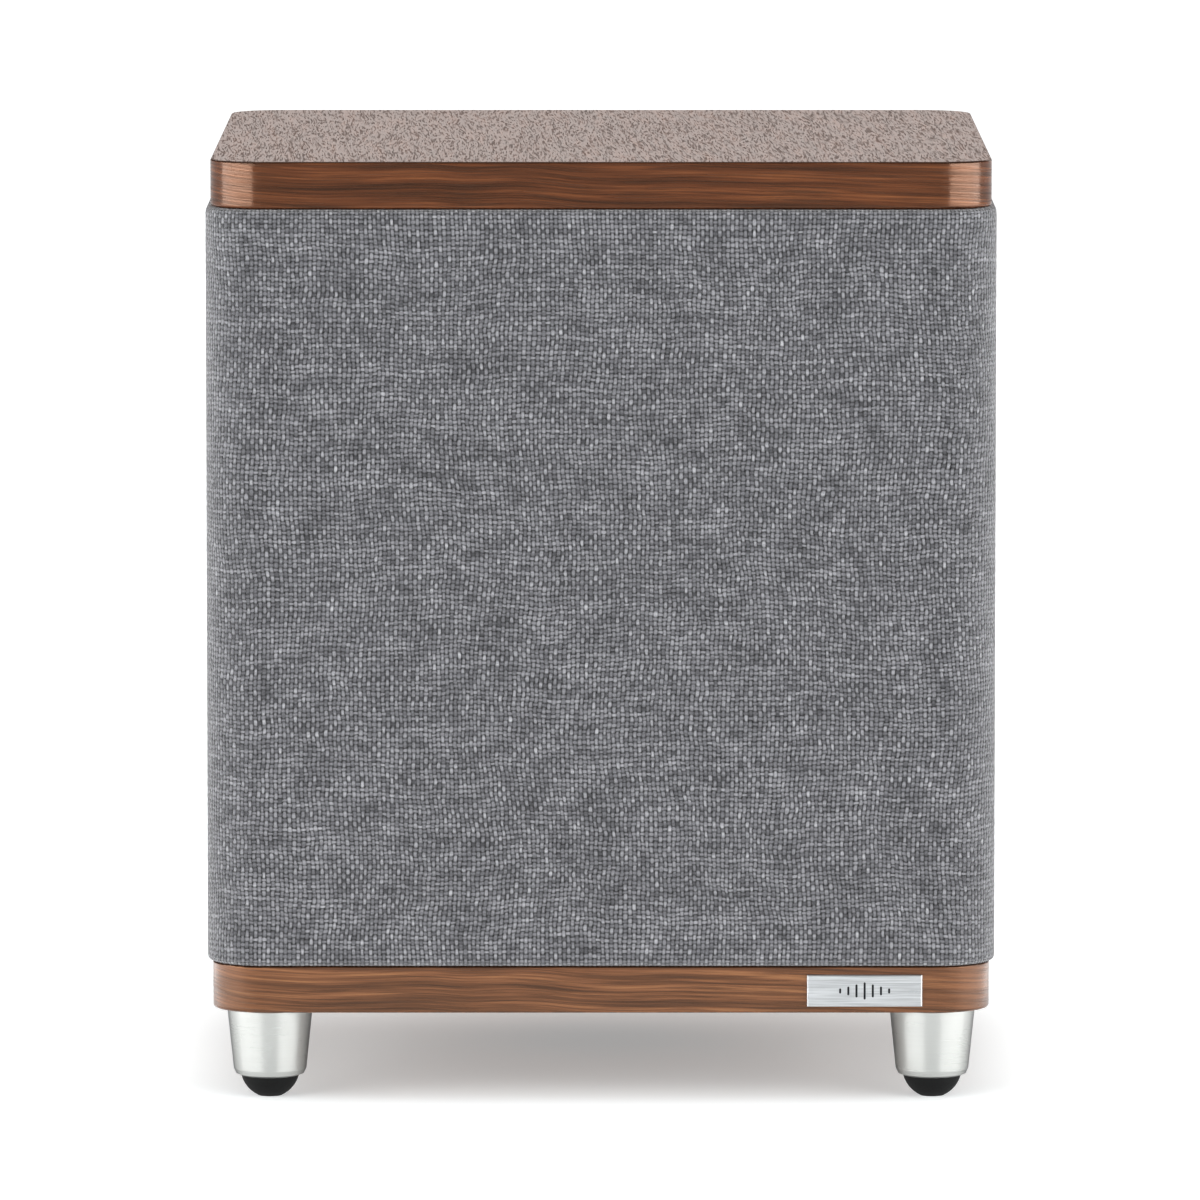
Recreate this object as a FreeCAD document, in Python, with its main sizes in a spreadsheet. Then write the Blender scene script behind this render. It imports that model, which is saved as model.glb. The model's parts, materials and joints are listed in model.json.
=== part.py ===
"""A compact active subwoofer: a cloth-covered cabinet between two walnut boards, on four metal feet.

The frame is in millimetres: +X is the right-hand side seen from the front, +Y runs to the back and +Z up.
The origin is on the floor, under the middle of the whole object.
"""

import FreeCAD, Part
import math
import os
import re
import Sketcher
from FreeCAD import Placement, Rotation, Vector

# The driving dimensions: alias, plain number, what it is.
SIZES = [
    ("total_width", 300, "outside of the cloth, left to right"),
    ("total_depth", 300, "front of the cloth to the back edge of the boards"),
    ("total_height", 358.5, "floor to the top board's upper face"),
    ("board_thick", 18, "thickness of the top and base boards"),
    ("board_width", 296, "width of the boards"),
    ("board_depth", 298, "depth of the boards"),
    ("board_corner", 20, "radius of the boards' corners in plan"),
    ("board_round", 1.2, "rounding of the boards' exposed lower edges"),
    ("board_crisp", 0.7, "rounding of the boards' crisp upper edges"),
    ("foot_height", 34.5, "floor to the underside of the base board"),
    ("foot_inset", 21.6, "edges of the base board to the axis of a foot"),
    ("foot_tip", 8, "height of the rubber below the metal"),
    ("foot_top_radius", 16.3, "metal foot where it meets the board"),
    ("foot_low_radius", 13.9, "metal foot above its bottom chamfer"),
    ("foot_chamfer", 2.6, "bottom chamfer of the metal foot"),
    ("tip_radius", 11, "rubber tip where it leaves the metal"),
    ("tip_flat", 4.5, "radius of the rubber that touches the floor"),
    ("tip_plug", 9, "radius of the rubber plug inside the foot"),
    ("bolt_radius", 4, "foot bolt shank"),
    ("sleeve_thick", 7, "grille frame and cloth together"),
    ("cloth_thick", 1.2, "grille cloth"),
    ("sleeve_round", 2.5, "rounding of the cloth's edges"),
    ("sleeve_gap", 0.5, "gap all round the grille"),
    ("arm_end", 1, "from the end of a grille arm to the cabinet's back"),
    ("baffle_gap", 19, "inside of the grille to the baffle"),
    ("rear_recess", 18, "back edge of the boards to the cabinet's back"),
    ("front_panel", 18, "thickness of the baffle"),
    ("wall", 15, "thickness of the side and rear panels"),
    ("peg_reach", 118, "grille pegs from the driver's axis, each way"),
    ("flange_radius", 104, "driver flange"),
    ("flange_thick", 5, "driver flange"),
    ("basket_mouth", 89, "inside radius of the driver flange"),
    ("basket_depth", 62, "flange face to the back of the basket"),
    ("cone_radius", 74, "outside of the cone's rim"),
    ("roll_radius", 8, "outside radius of the half roll"),
    ("rubber_thick", 0.9, "surround"),
    ("coil_radius", 25, "inside of the coil former"),
    ("former_thick", 0.4, "coil former"),
    ("winding_thick", 0.8, "voice coil winding"),
    ("plate_thick", 8, "driver front plate and yoke plate"),
    ("magnet_thick", 20, "ferrite ring"),
    ("magnet_radius", 62, "ferrite ring"),
    ("screw_circle", 99.6, "driver screws from the driver's axis"),
    ("port_radius", 27, "bore of the reflex port"),
    ("port_wall", 3, "wall of the port tube"),
    ("port_flare", 14, "rounding of the port's mouths"),
    ("port_top", 148.5, "floor to the upper mouth of the port"),
    ("port_back", 24, "port axis behind the middle"),
    ("amp_width", 200, "amplifier plate"),
    ("amp_high", 236, "amplifier plate"),
    ("amp_thick", 3, "amplifier plate"),
    ("amp_edge", 12, "overlap of the plate on the rear panel"),
    ("gasket_thick", 0.8, "seal under the amplifier plate"),
    ("knob_radius", 9, "control knobs"),
    ("knob_length", 11.4, "control knobs"),
    ("shaft_radius", 3, "control shafts"),
    ("shaft_play", 0.05, "radial clearance of the control shafts"),
    ("rocker_radius", 9.9, "ends of the power rocker from its pin"),
    ("rocker_tilt", 10, "power rocker at rest, degrees"),
    ("badge_width", 43.7, "blank badge"),
    ("badge_high", 12.1, "blank badge"),
    ("badge_thick", 1.3, "blank badge"),
]

doc = FreeCAD.newDocument("subwoofer")
sheet = doc.addObject("Spreadsheet::Sheet", "sizes")
for row, (alias, number, meaning) in enumerate(SIZES, start=1):
    sheet.set(f"A{row}", meaning)
    sheet.set(f"B{row}", str(number))
    sheet.setAlias(f"B{row}", alias)
doc.recompute()

ALIASES = {alias for alias, _, _ in SIZES}

# Places that several pieces share, worked out from the cells.
BODY_LOW = "(foot_height + board_thick)"
BODY_HIGH = "(total_height - board_thick)"
BODY_HALF = f"(({BODY_HIGH} - {BODY_LOW}) / 2)"
MIDDLE = f"(({BODY_HIGH} + {BODY_LOW}) / 2)"
BOARD_FRONT = "(total_depth / 2 - board_depth)"
BAFFLE_FRONT = "(sleeve_thick + baffle_gap - total_depth / 2)"
BAFFLE_BACK = f"({BAFFLE_FRONT} + front_panel)"
REAR_FACE = "(total_depth / 2 - rear_recess)"
CABINET_SIDE = "(total_width / 2 - sleeve_thick - sleeve_gap)"
FOOT_X = "(board_width / 2 - foot_inset)"
FOOT_FRONT = f"({BOARD_FRONT} + foot_inset)"
FOOT_BACK = "(total_depth / 2 - foot_inset)"
PLATE_IN = "gasket_thick"
PLATE_OUT = "(gasket_thick + amp_thick)"

# Local +Z points out of the front, or out of the back with +X to the right as seen from behind.
UPRIGHT = Rotation()
FRONTAL = Rotation(Vector(1, 0, 0), 90)
REARWARD = Rotation(Vector(0, 0, 1), 180).multiply(FRONTAL)


def bound(expression):
    """The expression with each cell's alias written the way other objects refer to it."""
    return re.sub(r"[a-z][a-z_]*", lambda m: f"sizes.{m[0]}" if m[0] in ALIASES else m[0], str(expression))


def size(expression):
    """The expression's value, in millimetres."""
    return float(sheet.evalExpression(bound(expression)))


def bind(thing, prop, expression):
    thing.setExpression(prop, bound(expression))


def put(thing, rotation=UPRIGHT, x="0", y="0", z="0"):
    """Turns the thing and ties its place to the sheet."""
    thing.Placement = Placement(Vector(size(x), size(y), size(z)), rotation)
    for axis, expression in (("x", x), ("y", y), ("z", z)):
        bind(thing, f"Placement.Base.{axis}", expression)
    return thing


def at_driver(thing):
    return put(thing, FRONTAL, y=BAFFLE_FRONT, z=MIDDLE)


def at_back(thing, u="0", v="0"):
    """Puts the thing on the cabinet's back: u to the right seen from behind, v up from the middle."""
    return put(thing, REARWARD, x=f"-({u})", y=REAR_FACE, z=f"{MIDDLE} + {v}")


# ---------------------------------------------------------------- sketches and features


def new_body(name):
    return doc.addObject("PartDesign::Body", name)


def new_sketch(body, role, height="0"):
    """A sketch on one of the body's own origin planes, raised from it by height."""
    sketch = body.newObject("Sketcher::SketchObject", body.Name + "_sketch")
    origin_plane = next(f for f in body.Origin.OriginFeatures if f.Role == role)
    sketch.AttachmentSupport = [(origin_plane, "")]
    sketch.MapMode = "FlatFace"
    bind(sketch, "AttachmentOffset.Base.z", height)
    return sketch


def tie(sketch, geometry, end, u, v):
    """Dimensions one point of a sketch from the sketch's origin."""
    for kind, expression, axis in (("DistanceX", u, -2), ("DistanceY", v, -1)):
        value = size(expression)
        if abs(value) < 1e-7:
            sketch.addConstraint(Sketcher.Constraint("PointOnObject", geometry, end, axis))
            continue
        ends = (-1, 1, geometry, end) if value > 0 else (geometry, end, -1, 1)
        index = sketch.addConstraint(Sketcher.Constraint(kind, *ends, abs(value)))
        bind(sketch, f"Constraints[{index}]", expression if value > 0 else f"-({expression})")


def outline(sketch, points):
    """A closed outline through points: (u, v), or (u, v, radius, turn) where an arc arrives at the point.

    Turn 1 is an anticlockwise arc and turn -1 a clockwise one.
    """
    places = [Vector(size(p[0]), size(p[1]), 0) for p in points]
    starts, finishes = [], []
    for i, point in enumerate(points):
        a, b = places[i - 1], places[i]
        if len(point) == 2:
            line = sketch.addGeometry(Part.LineSegment(a, b))
            starts.append((line, 1))
            finishes.append((line, 2))
            continue
        radius, turn = size(point[2]), point[3]
        middle, half = (a + b) / 2, (b - a) / 2
        left = Vector(-half.y, half.x, 0).normalize()
        centre = middle + left * (turn * math.sqrt(max(radius**2 - half.Length**2, 0)))
        first, last = (a, b) if turn > 0 else (b, a)
        angles = [math.atan2(p.y - centre.y, p.x - centre.x) for p in (first, last)]
        circle = Part.Circle(centre, Vector(0, 0, 1), radius)
        arc = sketch.addGeometry(Part.ArcOfCircle(circle, *angles))
        starts.append((arc, 1 if turn > 0 else 2))
        finishes.append((arc, 2 if turn > 0 else 1))
        index = sketch.addConstraint(Sketcher.Constraint("Radius", arc, radius))
        bind(sketch, f"Constraints[{index}]", point[2])
    for i, point in enumerate(points):
        following = starts[(i + 1) % len(points)]
        sketch.addConstraint(Sketcher.Constraint("Coincident", *finishes[i], *following))
        tie(sketch, *finishes[i], point[0], point[1])
    return sketch


def rectangle(sketch, half_u, half_v, u="0", v="0"):
    low_u, high_u = f"{u} - ({half_u})", f"{u} + ({half_u})"
    low_v, high_v = f"{v} - ({half_v})", f"{v} + ({half_v})"
    return outline(sketch, [(low_u, low_v), (high_u, low_v), (high_u, high_v), (low_u, high_v)])


def circle(sketch, u, v, radius):
    centre = Vector(size(u), size(v), 0)
    index = sketch.addGeometry(Part.Circle(centre, Vector(0, 0, 1), size(radius)))
    dimension = sketch.addConstraint(Sketcher.Constraint("Radius", index, size(radius)))
    bind(sketch, f"Constraints[{dimension}]", radius)
    tie(sketch, index, 3, u, v)
    return sketch


def pad(body, sketch, length, midplane=False):
    feature = body.newObject("PartDesign::Pad", body.Name + "_pad")
    feature.Profile = sketch
    bind(feature, "Length", length)
    feature.Midplane = midplane
    doc.recompute()
    return feature


def pocket(body, sketch, depth=None, reverse=False):
    """Cuts against the sketch's normal, or along it if reversed. Without a depth it goes right through."""
    before = body.Shape.Volume
    feature = body.newObject("PartDesign::Pocket", body.Name + "_pocket")
    feature.Profile = sketch
    feature.Reversed = reverse
    if depth is None:
        feature.Type = 1
    else:
        bind(feature, "Length", depth)
    doc.recompute()
    if body.Shape.Volume > before - 1e-3:
        raise RuntimeError(f"a pocket of {body.Name} cuts nothing")
    return feature


def round_pattern(body, feature, count):
    """Repeats a feature round the body's own Z axis."""
    pattern = body.newObject("PartDesign::PolarPattern", body.Name + "_pattern")
    pattern.Originals = [feature]
    pattern.Axis = (next(f for f in body.Origin.OriginFeatures if f.Role == "Z_Axis"), [""])
    pattern.Angle = 360
    pattern.Occurrences = count
    body.Tip = pattern
    doc.recompute()
    return pattern


def edges_of(feature, wanted):
    """The names of a feature's edges that the function wanted accepts."""
    return [f"Edge{i}" for i, edge in enumerate(feature.Shape.Edges, start=1) if wanted(edge)]


def soften(body, feature, wanted, radius, kind="Fillet"):
    """Rounds or chamfers the edges that the function wanted accepts."""
    feature_type = f"PartDesign::{kind}"
    result = body.newObject(feature_type, f"{body.Name}_{kind.lower()}")
    result.Base = (feature, edges_of(feature, wanted))
    bind(result, "Radius" if kind == "Fillet" else "Size", radius)
    doc.recompute()
    return result


def at_height(height):
    """Accepts the edges that lie wholly at one height of the body."""
    level = size(height)
    return lambda e: abs(e.BoundBox.ZMin - level) < 1e-4 and abs(e.BoundBox.ZMax - level) < 1e-4


def upright_edge(edge):
    box = edge.BoundBox
    return box.ZLength > 1 and box.XLength < 1e-4 and box.YLength < 1e-4


def turned(name, points):
    """A body turned about its own Z axis: the points are (radius, height)."""
    body = new_body(name)
    sketch = outline(new_sketch(body, "XZ_Plane"), points)
    feature = body.newObject("PartDesign::Revolution", name + "_turn")
    feature.Profile = sketch
    feature.ReferenceAxis = (sketch, ["V_Axis"])
    feature.Angle = 360
    doc.recompute()
    return body


def ring(inner, outer, low, high):
    """The profile of a plain ring or, with inner 0, of a disc."""
    return [(inner, low), (outer, low), (outer, high), (inner, high)]


def panel(name, half_u, half_v, thickness):
    """A plain board whose outer face is at local height 0."""
    body = new_body(name)
    pad(body, rectangle(new_sketch(body, "XY_Plane", f"-({thickness})"), half_u, half_v), thickness)
    return body


def through_holes(body, centres, radius, top="0", depth=None):
    sketch = new_sketch(body, "XY_Plane", top)
    for u, v in centres:
        circle(sketch, u, v, radius)
    return pocket(body, sketch, depth)


# ---------------------------------------------------------------- primitives, booleans and groups


def block(name, low, high):
    """A Part::Box between two corners, each three expressions."""
    box = doc.addObject("Part::Box", name)
    for prop, start, end in zip(("Length", "Width", "Height"), low, high):
        bind(box, prop, f"({end}) - ({start})")
    return put(box, x=low[0], y=low[1], z=low[2])


def rod(name, radius, length, x="0", y="0", z="0"):
    cylinder = doc.addObject("Part::Cylinder", name)
    bind(cylinder, "Radius", radius)
    bind(cylinder, "Height", length)
    return put(cylinder, x=x, y=y, z=z)


def fuse(name, shapes):
    result = doc.addObject("Part::MultiFuse", name)
    result.Shapes = shapes
    doc.recompute()
    return result


def cut(name, base, tool):
    result = doc.addObject("Part::Cut", name)
    result.Base, result.Tool = base, tool
    doc.recompute()
    if result.Shape.Volume > base.Shape.Volume - 1e-3:
        raise RuntimeError(f"{name} cuts nothing")
    return result


def common(name, shapes):
    result = doc.addObject("Part::MultiCommon", name)
    result.Shapes = shapes
    doc.recompute()
    if result.Shape.Volume < 1:
        raise RuntimeError(f"{name} is empty")
    return result


def group(name, pieces):
    """Separate solids that share one node: each piece is (shape, list of the moves that place its copies)."""
    copies = []
    for shape, moves in pieces:
        for move in moves:
            copy = shape.copy()
            copy.translate(Vector(*(size(m) for m in move)))
            copies.append(copy)
    result = doc.addObject("Part::Feature", name)
    result.Shape = Part.makeCompound(copies)
    result.Placement = Placement()
    return result


def tube(name, points, radius):
    """A wire or lead: straight runs joined by tangent arcs, each as large as its runs allow."""
    places = [Vector(*p) for p in points]
    edges, here = [], places[0]
    for before, corner, after in zip(places, places[1:], places[2:]):
        into, out = (corner - before).normalize(), (after - corner).normalize()
        reach = 0.45 * min((corner - before).Length, (after - corner).Length)
        enter, leave = corner - into * reach, corner + out * reach
        sag = (enter + leave) / 2 - corner
        bend = reach / math.tan(into.getAngle(out) / 2)
        peak = corner + sag.normalize() * (math.hypot(reach, bend) - bend)
        edges.append(Part.LineSegment(here, enter).toShape())
        edges.append(Part.Arc(enter, peak, leave).toShape())
        print(f"{name}: bend radius {bend:.1f}")
        here = leave
    edges.append(Part.LineSegment(here, places[-1]).toShape())
    path = Part.Wire(edges)
    start = Part.Wire(Part.makeCircle(radius, places[0], places[1] - places[0]))
    swept = path.makePipeShell([start], True, False)
    share = swept.Volume / (math.pi * radius**2 * path.Length)
    print(f"{name}: length {path.Length:.1f}, volume {share:.3f} of section times length")
    return swept


# ---------------------------------------------------------------- the two boards, feet and badge


def board(name):
    """A walnut board with round corners in plan, its underside at local height 0."""
    body = new_body(name)
    outside = rectangle(new_sketch(body, "XY_Plane"), "board_width / 2", "board_depth / 2")
    slab = pad(body, outside, "board_thick")
    corners = soften(body, slab, upright_edge, "board_corner")
    eased = soften(body, corners, at_height("0"), "board_round")
    soften(body, eased, at_height("board_thick"), "board_crisp")
    return put(body, y="(total_depth - board_depth) / 2")


def foot_places(y_shift="0"):
    """The four corners under the base board, moved along Y by y_shift."""
    return [(x, f"{y} + {y_shift}") for x in (f"-{FOOT_X}", FOOT_X) for y in (FOOT_FRONT, FOOT_BACK)]


def make_boards():
    top = board("top_board")
    bind(top, "Placement.Base.z", BODY_HIGH)
    base = board("base_board")
    bind(base, "Placement.Base.z", "foot_height")
    inward = "(board_depth - total_depth) / 2"
    port_v = f"port_back + {inward}"
    under = new_sketch(base, "XY_Plane")
    pocket(base, circle(under, "0", port_v, "port_radius + port_flare + 2.3"), "5", reverse=True)
    through_holes(base, [("0", port_v)], "port_radius + port_wall + 4.2", top="board_thick")
    inserts = new_sketch(base, "XY_Plane")
    for x, y in foot_places(inward):
        circle(inserts, x, y, "bolt_radius + 2")
    pocket(base, inserts, "12", reverse=True)
    bolt_hole = circle(new_sketch(base, "XY_Plane", "board_thick"), "-82", f"62 + {inward}", "3.1")
    pocket(base, bolt_hole, "11")
    return [top, base]


def make_feet():
    """Tapered metal feet with rubber tips, each held by one bolt into a threaded insert."""
    low, high = "foot_tip", "foot_height"
    foot = turned(
        "foot_master",
        [
            ("bolt_radius + 0.3", "foot_tip + 16"),
            ("tip_plug + 0.1", "foot_tip + 16"),
            ("tip_plug + 0.1", low),
            ("foot_low_radius - foot_chamfer", low),
            ("foot_low_radius - foot_chamfer / 3", "foot_tip + foot_chamfer / 3.6"),
            ("foot_low_radius", "foot_tip + foot_chamfer"),
            ("foot_top_radius", "foot_height - 0.8"),
            ("foot_top_radius - 0.5", high),
            ("bolt_radius + 0.3", high),
        ],
    )
    tip = turned(
        "tip_master",
        [
            ("0", "0"),
            ("tip_flat", "0"),
            ("tip_radius", "foot_tip - 0.3", "tip_radius + 0.9", 1),
            ("tip_radius", low),
            ("tip_plug", low),
            ("tip_plug", "foot_tip + 8"),
            ("0", "foot_tip + 8"),
        ],
    )
    bolt = turned(
        "bolt_master",
        [
            ("0", "foot_tip + 8.5"),
            ("bolt_radius + 2.8", "foot_tip + 8.5"),
            ("bolt_radius + 2.8", "foot_tip + 16"),
            ("bolt_radius", "foot_tip + 16"),
            ("bolt_radius", "foot_height + 11"),
            ("0", "foot_height + 11"),
        ],
    )
    insert = turned("insert_master", ring("bolt_radius", "bolt_radius + 2", high, "foot_height + 12"))
    corners = [(x, y, "0") for x, y in foot_places()]
    named = (("feet", foot), ("foot_tips", tip), ("foot_bolts", bolt), ("foot_inserts", insert))
    return [group(name, [(master.Shape, corners)]) for name, master in named]


def make_badge():
    """A blank plate on the front edge of the base board, with a bevelled face."""
    body = new_body("badge")
    outside = rectangle(new_sketch(body, "XY_Plane"), "badge_width / 2", "badge_high / 2")
    plate = pad(body, outside, "badge_thick")
    soften(body, plate, at_height("badge_thick"), "0.45", "Chamfer")
    return [put(body, FRONTAL, x="100.1", y=BOARD_FRONT, z="foot_height + board_thick / 2 - 0.3")]


# ---------------------------------------------------------------- the cabinet


def peg_places():
    return [(u, v) for u in ("-peg_reach", "peg_reach") for v in ("-peg_reach", "peg_reach")]


def make_baffle():
    """The front board: a stepped hole for the driver and a blind hole for each grille socket."""
    body = panel("front_baffle", CABINET_SIDE, BODY_HALF, "front_panel")
    through_holes(body, [("0", "0")], "basket_mouth + 6")
    through_holes(body, [("0", "0")], "flange_radius + 0.3", depth="flange_thick")
    pilot = through_holes(body, [("screw_circle", "0")], "2", depth="flange_thick + 10")
    round_pattern(body, pilot, 8)
    through_holes(body, peg_places(), "7", depth="13.5")
    return at_driver(body)


def amp_screw_places():
    side, top, between = "(amp_width / 2 - 6)", "(amp_high / 2 - 6)", "(amp_high / 6)"
    corners = [(u, v) for u in (f"-{side}", side) for v in (f"-{top}", f"-{between}", between, top)]
    return corners + [("0", f"-{top}"), ("0", top)]


def make_rear_panel():
    body = panel("rear_panel", CABINET_SIDE, BODY_HALF, "wall")
    window = new_sketch(body, "XY_Plane")
    pocket(body, rectangle(window, "amp_width / 2 - amp_edge", "amp_high / 2 - amp_edge"))
    through_holes(body, amp_screw_places(), "1.9", depth="13")
    return at_back(body)


def make_cabinet():
    sides = []
    for name, outer, inner in (
        ("left_panel", f"-{CABINET_SIDE}", f"wall - {CABINET_SIDE}"),
        ("right_panel", f"{CABINET_SIDE} - wall", CABINET_SIDE),
    ):
        low = (outer, BAFFLE_BACK, BODY_LOW)
        high = (inner, f"{REAR_FACE} - wall", BODY_HIGH)
        sides.append(block(name, low, high))
    brace = new_body("cabinet_brace")
    inside = f"{CABINET_SIDE} - wall"
    pad(brace, rectangle(new_sketch(brace, "XY_Plane"), inside, BODY_HALF), "12")
    opened = pocket(brace, rectangle(new_sketch(brace, "XY_Plane"), "97", "114"), reverse=True)
    soften(brace, opened, lambda e: upright_edge(e) and abs(e.BoundBox.XMin) < 100, "20")
    put(brace, FRONTAL, y="-40", z=MIDDLE)
    pads = []
    for name, start, end, floor in (
        ("left_wadding", f"wall - {CABINET_SIDE}", f"wall + 15 - {CABINET_SIDE}", f"{BODY_LOW} + 46"),
        ("right_wadding", f"{CABINET_SIDE} - wall - 15", f"{CABINET_SIDE} - wall", f"{BODY_LOW} + 6"),
    ):
        pads.append(block(name, (start, "-36", floor), (end, "112", f"{BODY_HIGH} - 6")))
    doc.recompute()
    wadding = group("damping_pads", [(p.Shape, [("0", "0", "0")]) for p in pads])
    return [make_baffle(), make_rear_panel(), *sides, brace, wadding]


def make_port():
    """The reflex port: a tube flared at both ends, its lower flange let into the base board."""
    wall_out, neck = "port_radius + port_wall", "port_radius + port_wall + 4"
    flare, low_arc = "port_radius + port_flare", "foot_height + port_flare"
    body = turned(
        "port_tube",
        [
            ("port_radius", "port_top - port_flare", "port_flare", 1),
            ("port_radius", low_arc),
            (flare, "foot_height", "port_flare", 1),
            ("port_radius + port_flare + 2", "foot_height"),
            ("port_radius + port_flare + 2", "foot_height + 5"),
            (neck, "foot_height + 5"),
            (neck, "foot_height + board_thick + 2"),
            (wall_out, "foot_height + board_thick + 2"),
            (wall_out, "port_top - port_flare"),
            (flare, "port_top - port_wall", "port_flare - port_wall", -1),
            (flare, "port_top"),
        ],
    )
    return [put(body, y="port_back")]


# ---------------------------------------------------------------- the grille, which pulls off forwards


def sleeve(name, inset):
    """The U-shaped sleeve, shrunk by inset on its outer, top, bottom and end faces."""
    side, front = f"total_width / 2 - {inset}", f"total_depth / 2 - {inset}"
    bend = f"board_corner + (total_width - board_width) / 2 - {inset}"
    inner_side, inner_front = "total_width / 2 - sleeve_thick", "total_depth / 2 - sleeve_thick"
    inner_bend = "board_corner + (total_width - board_width) / 2 - sleeve_thick"
    end = f"{REAR_FACE} - arm_end - {inset}"
    start_y, start_x = f"({bend}) - ({front})", f"({side}) - ({bend})"
    in_y, in_x = f"{inner_bend} - ({inner_front})", f"{inner_side} - ({inner_bend})"
    body = new_body(name)
    sketch = new_sketch(body, "XY_Plane", f"{BODY_LOW} + sleeve_gap + {inset}")
    outline(
        sketch,
        [
            (f"-({side})", start_y),
            (f"-({start_x})", f"-({front})", bend, 1),
            (start_x, f"-({front})"),
            (side, start_y, bend, 1),
            (side, end),
            (inner_side, end),
            (inner_side, in_y),
            (in_x, f"-({inner_front})", inner_bend, -1),
            (f"-({in_x})", f"-({inner_front})"),
            (f"-({inner_side})", in_y, inner_bend, -1),
            (f"-({inner_side})", end),
            (f"-({side})", end),
        ],
    )
    raised = pad(body, sketch, f"{BODY_HIGH} - {BODY_LOW} - 2 * (sleeve_gap + {inset})")
    side_value, end_value = size(side), size(end)

    def outer_edge(edge):
        box, middle = edge.BoundBox, edge.valueAt((edge.FirstParameter + edge.LastParameter) / 2)
        if box.ZLength > 1:
            return abs(abs(middle.x) - side_value) < 0.01 and abs(middle.y - end_value) < 0.01
        deep = abs(middle.x) > size(inner_side) + 0.1 or middle.y < -size(inner_front) - 0.1
        at_corner = math.hypot(abs(middle.x) - size(in_x), middle.y - size(in_y)) > size(inner_bend) + 0.5
        on_end = abs(middle.y - end_value) < 0.01
        return deep and not on_end and (at_corner or middle.y > size(in_y))

    soften(body, raised, outer_edge, f"sleeve_round - {inset}")
    return body


def frame_members(blank):
    """The frame's plates, corners, rails and posts: simple solids that meet face to face."""
    bend = "(board_corner + (total_width - board_width) / 2)"
    turn_x, turn_y = f"total_width / 2 - {bend}", f"{bend} - total_depth / 2"
    low, high = f"{BODY_LOW} + 24", f"{BODY_HIGH} - 24"
    ahead, behind, outside = "-total_depth", "total_depth", "total_width"
    regions = [
        (("0", ahead, BODY_LOW), (turn_x, turn_y, MIDDLE)),
        (("0", ahead, MIDDLE), (turn_x, turn_y, BODY_HIGH)),
        ((turn_x, ahead, BODY_LOW), (outside, turn_y, BODY_HIGH)),
        ((turn_x, turn_y, BODY_LOW), (outside, behind, low)),
        ((turn_x, turn_y, high), (outside, behind, BODY_HIGH)),
        ((turn_x, turn_y, low), (outside, "-108", high)),
        ((turn_x, "-2", low), (outside, "10", high)),
        ((turn_x, "112", low), (outside, behind, high)),
    ]
    members = []
    for i, ((inner, *start), (outer, *end)) in enumerate(regions):
        for side, near, far in (("right", inner, outer), ("left", f"-({outer})", f"-({inner})")):
            region = block(f"{side}_region_{i}", (near, *start), (far, *end))
            members.append(common(f"{side}_member_{i}", [blank, region]))
    return members


def make_grille():
    """A stiff U-shaped frame with a barred window before the driver, and the cloth stretched over it."""
    outer, core = sleeve("cloth_outer", "0"), sleeve("frame_blank", "cloth_thick")
    cloth = cut("grille_cloth", outer, core)
    face, root = "cloth_thick - total_depth / 2", "sleeve_thick - total_depth / 2"
    disc = rod("window_disc", "98", "sleeve_thick + 4")
    put(disc, Rotation(Vector(1, 0, 0), -90), y="-total_depth / 2 - 1", z=MIDDLE)
    members = frame_members(cut("frame_windowed", core, disc))
    low, high = f"{MIDDLE} - 3", f"{MIDDLE} + 3"
    bars = [
        block("window_column", ("-3", face, f"{MIDDLE} - 100"), ("3", root, f"{MIDDLE} + 100")),
        block("window_left_beam", ("-100", face, low), ("-3", root, high)),
        block("window_right_beam", ("3", face, low), ("100", root, high)),
    ]
    members += [common(bar.Name + "_end", [bar, disc]) for bar in bars]
    for i, (u, v) in enumerate(peg_places()):
        peg = turned(
            f"peg_{i}",
            [
                ("0", "baffle_gap"),
                ("0", "-10.5"),
                ("2", "-10.5"),
                ("3.5", "-8"),
                ("3.5", "1.5"),
                ("6", "1.5"),
                ("6", "baffle_gap"),
            ],
        )
        members.append(put(peg, FRONTAL, x=u, y=f"{root} + baffle_gap", z=f"{MIDDLE} + {v}"))
    doc.recompute()
    frame = group("grille_frame", [(member.Shape, [("0", "0", "0")]) for member in members])
    socket = turned(
        "socket_master",
        [
            ("0", "-13"),
            ("7", "-13"),
            ("7", "0"),
            ("8.6", "0"),
            ("8.6", "1"),
            ("3.9", "1"),
            ("3.9", "-11.5"),
            ("0", "-11.5"),
        ],
    )
    put(socket, FRONTAL)
    places = [(u, BAFFLE_FRONT, f"{MIDDLE} + {v}") for u, v in peg_places()]
    doc.recompute()
    return [cloth, frame, group("grille_sockets", [(socket.Shape, places)])]


# ---------------------------------------------------------------- the driver; local +Z is out of the front


def make_basket():
    """A cast basket: flange, six spokes, and a landing for the spider above the magnet."""
    body = turned(
        "driver_basket",
        [
            ("basket_mouth", "0"),
            ("basket_mouth", "-flange_thick - 0.5"),
            ("71", "-38"),
            ("60", "-38"),
            ("60", "4 - basket_depth"),
            ("30", "4 - basket_depth"),
            ("30", "-basket_depth"),
            ("70", "-basket_depth"),
            ("74", "-42"),
            ("basket_mouth + 4", "-flange_thick"),
            ("flange_radius", "-flange_thick"),
            ("flange_radius", "0"),
        ],
    )
    window_points = [("-30", "-35"), ("30", "-35"), ("26", "-9"), ("-26", "-9")]
    window = outline(new_sketch(body, "XZ_Plane"), window_points)
    cutout = pocket(body, window, reverse=True)
    round_pattern(body, cutout, 6)
    hole = through_holes(body, [("screw_circle", "0")], "2.2")
    round_pattern(body, hole, 8)
    return at_driver(body)


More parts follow.
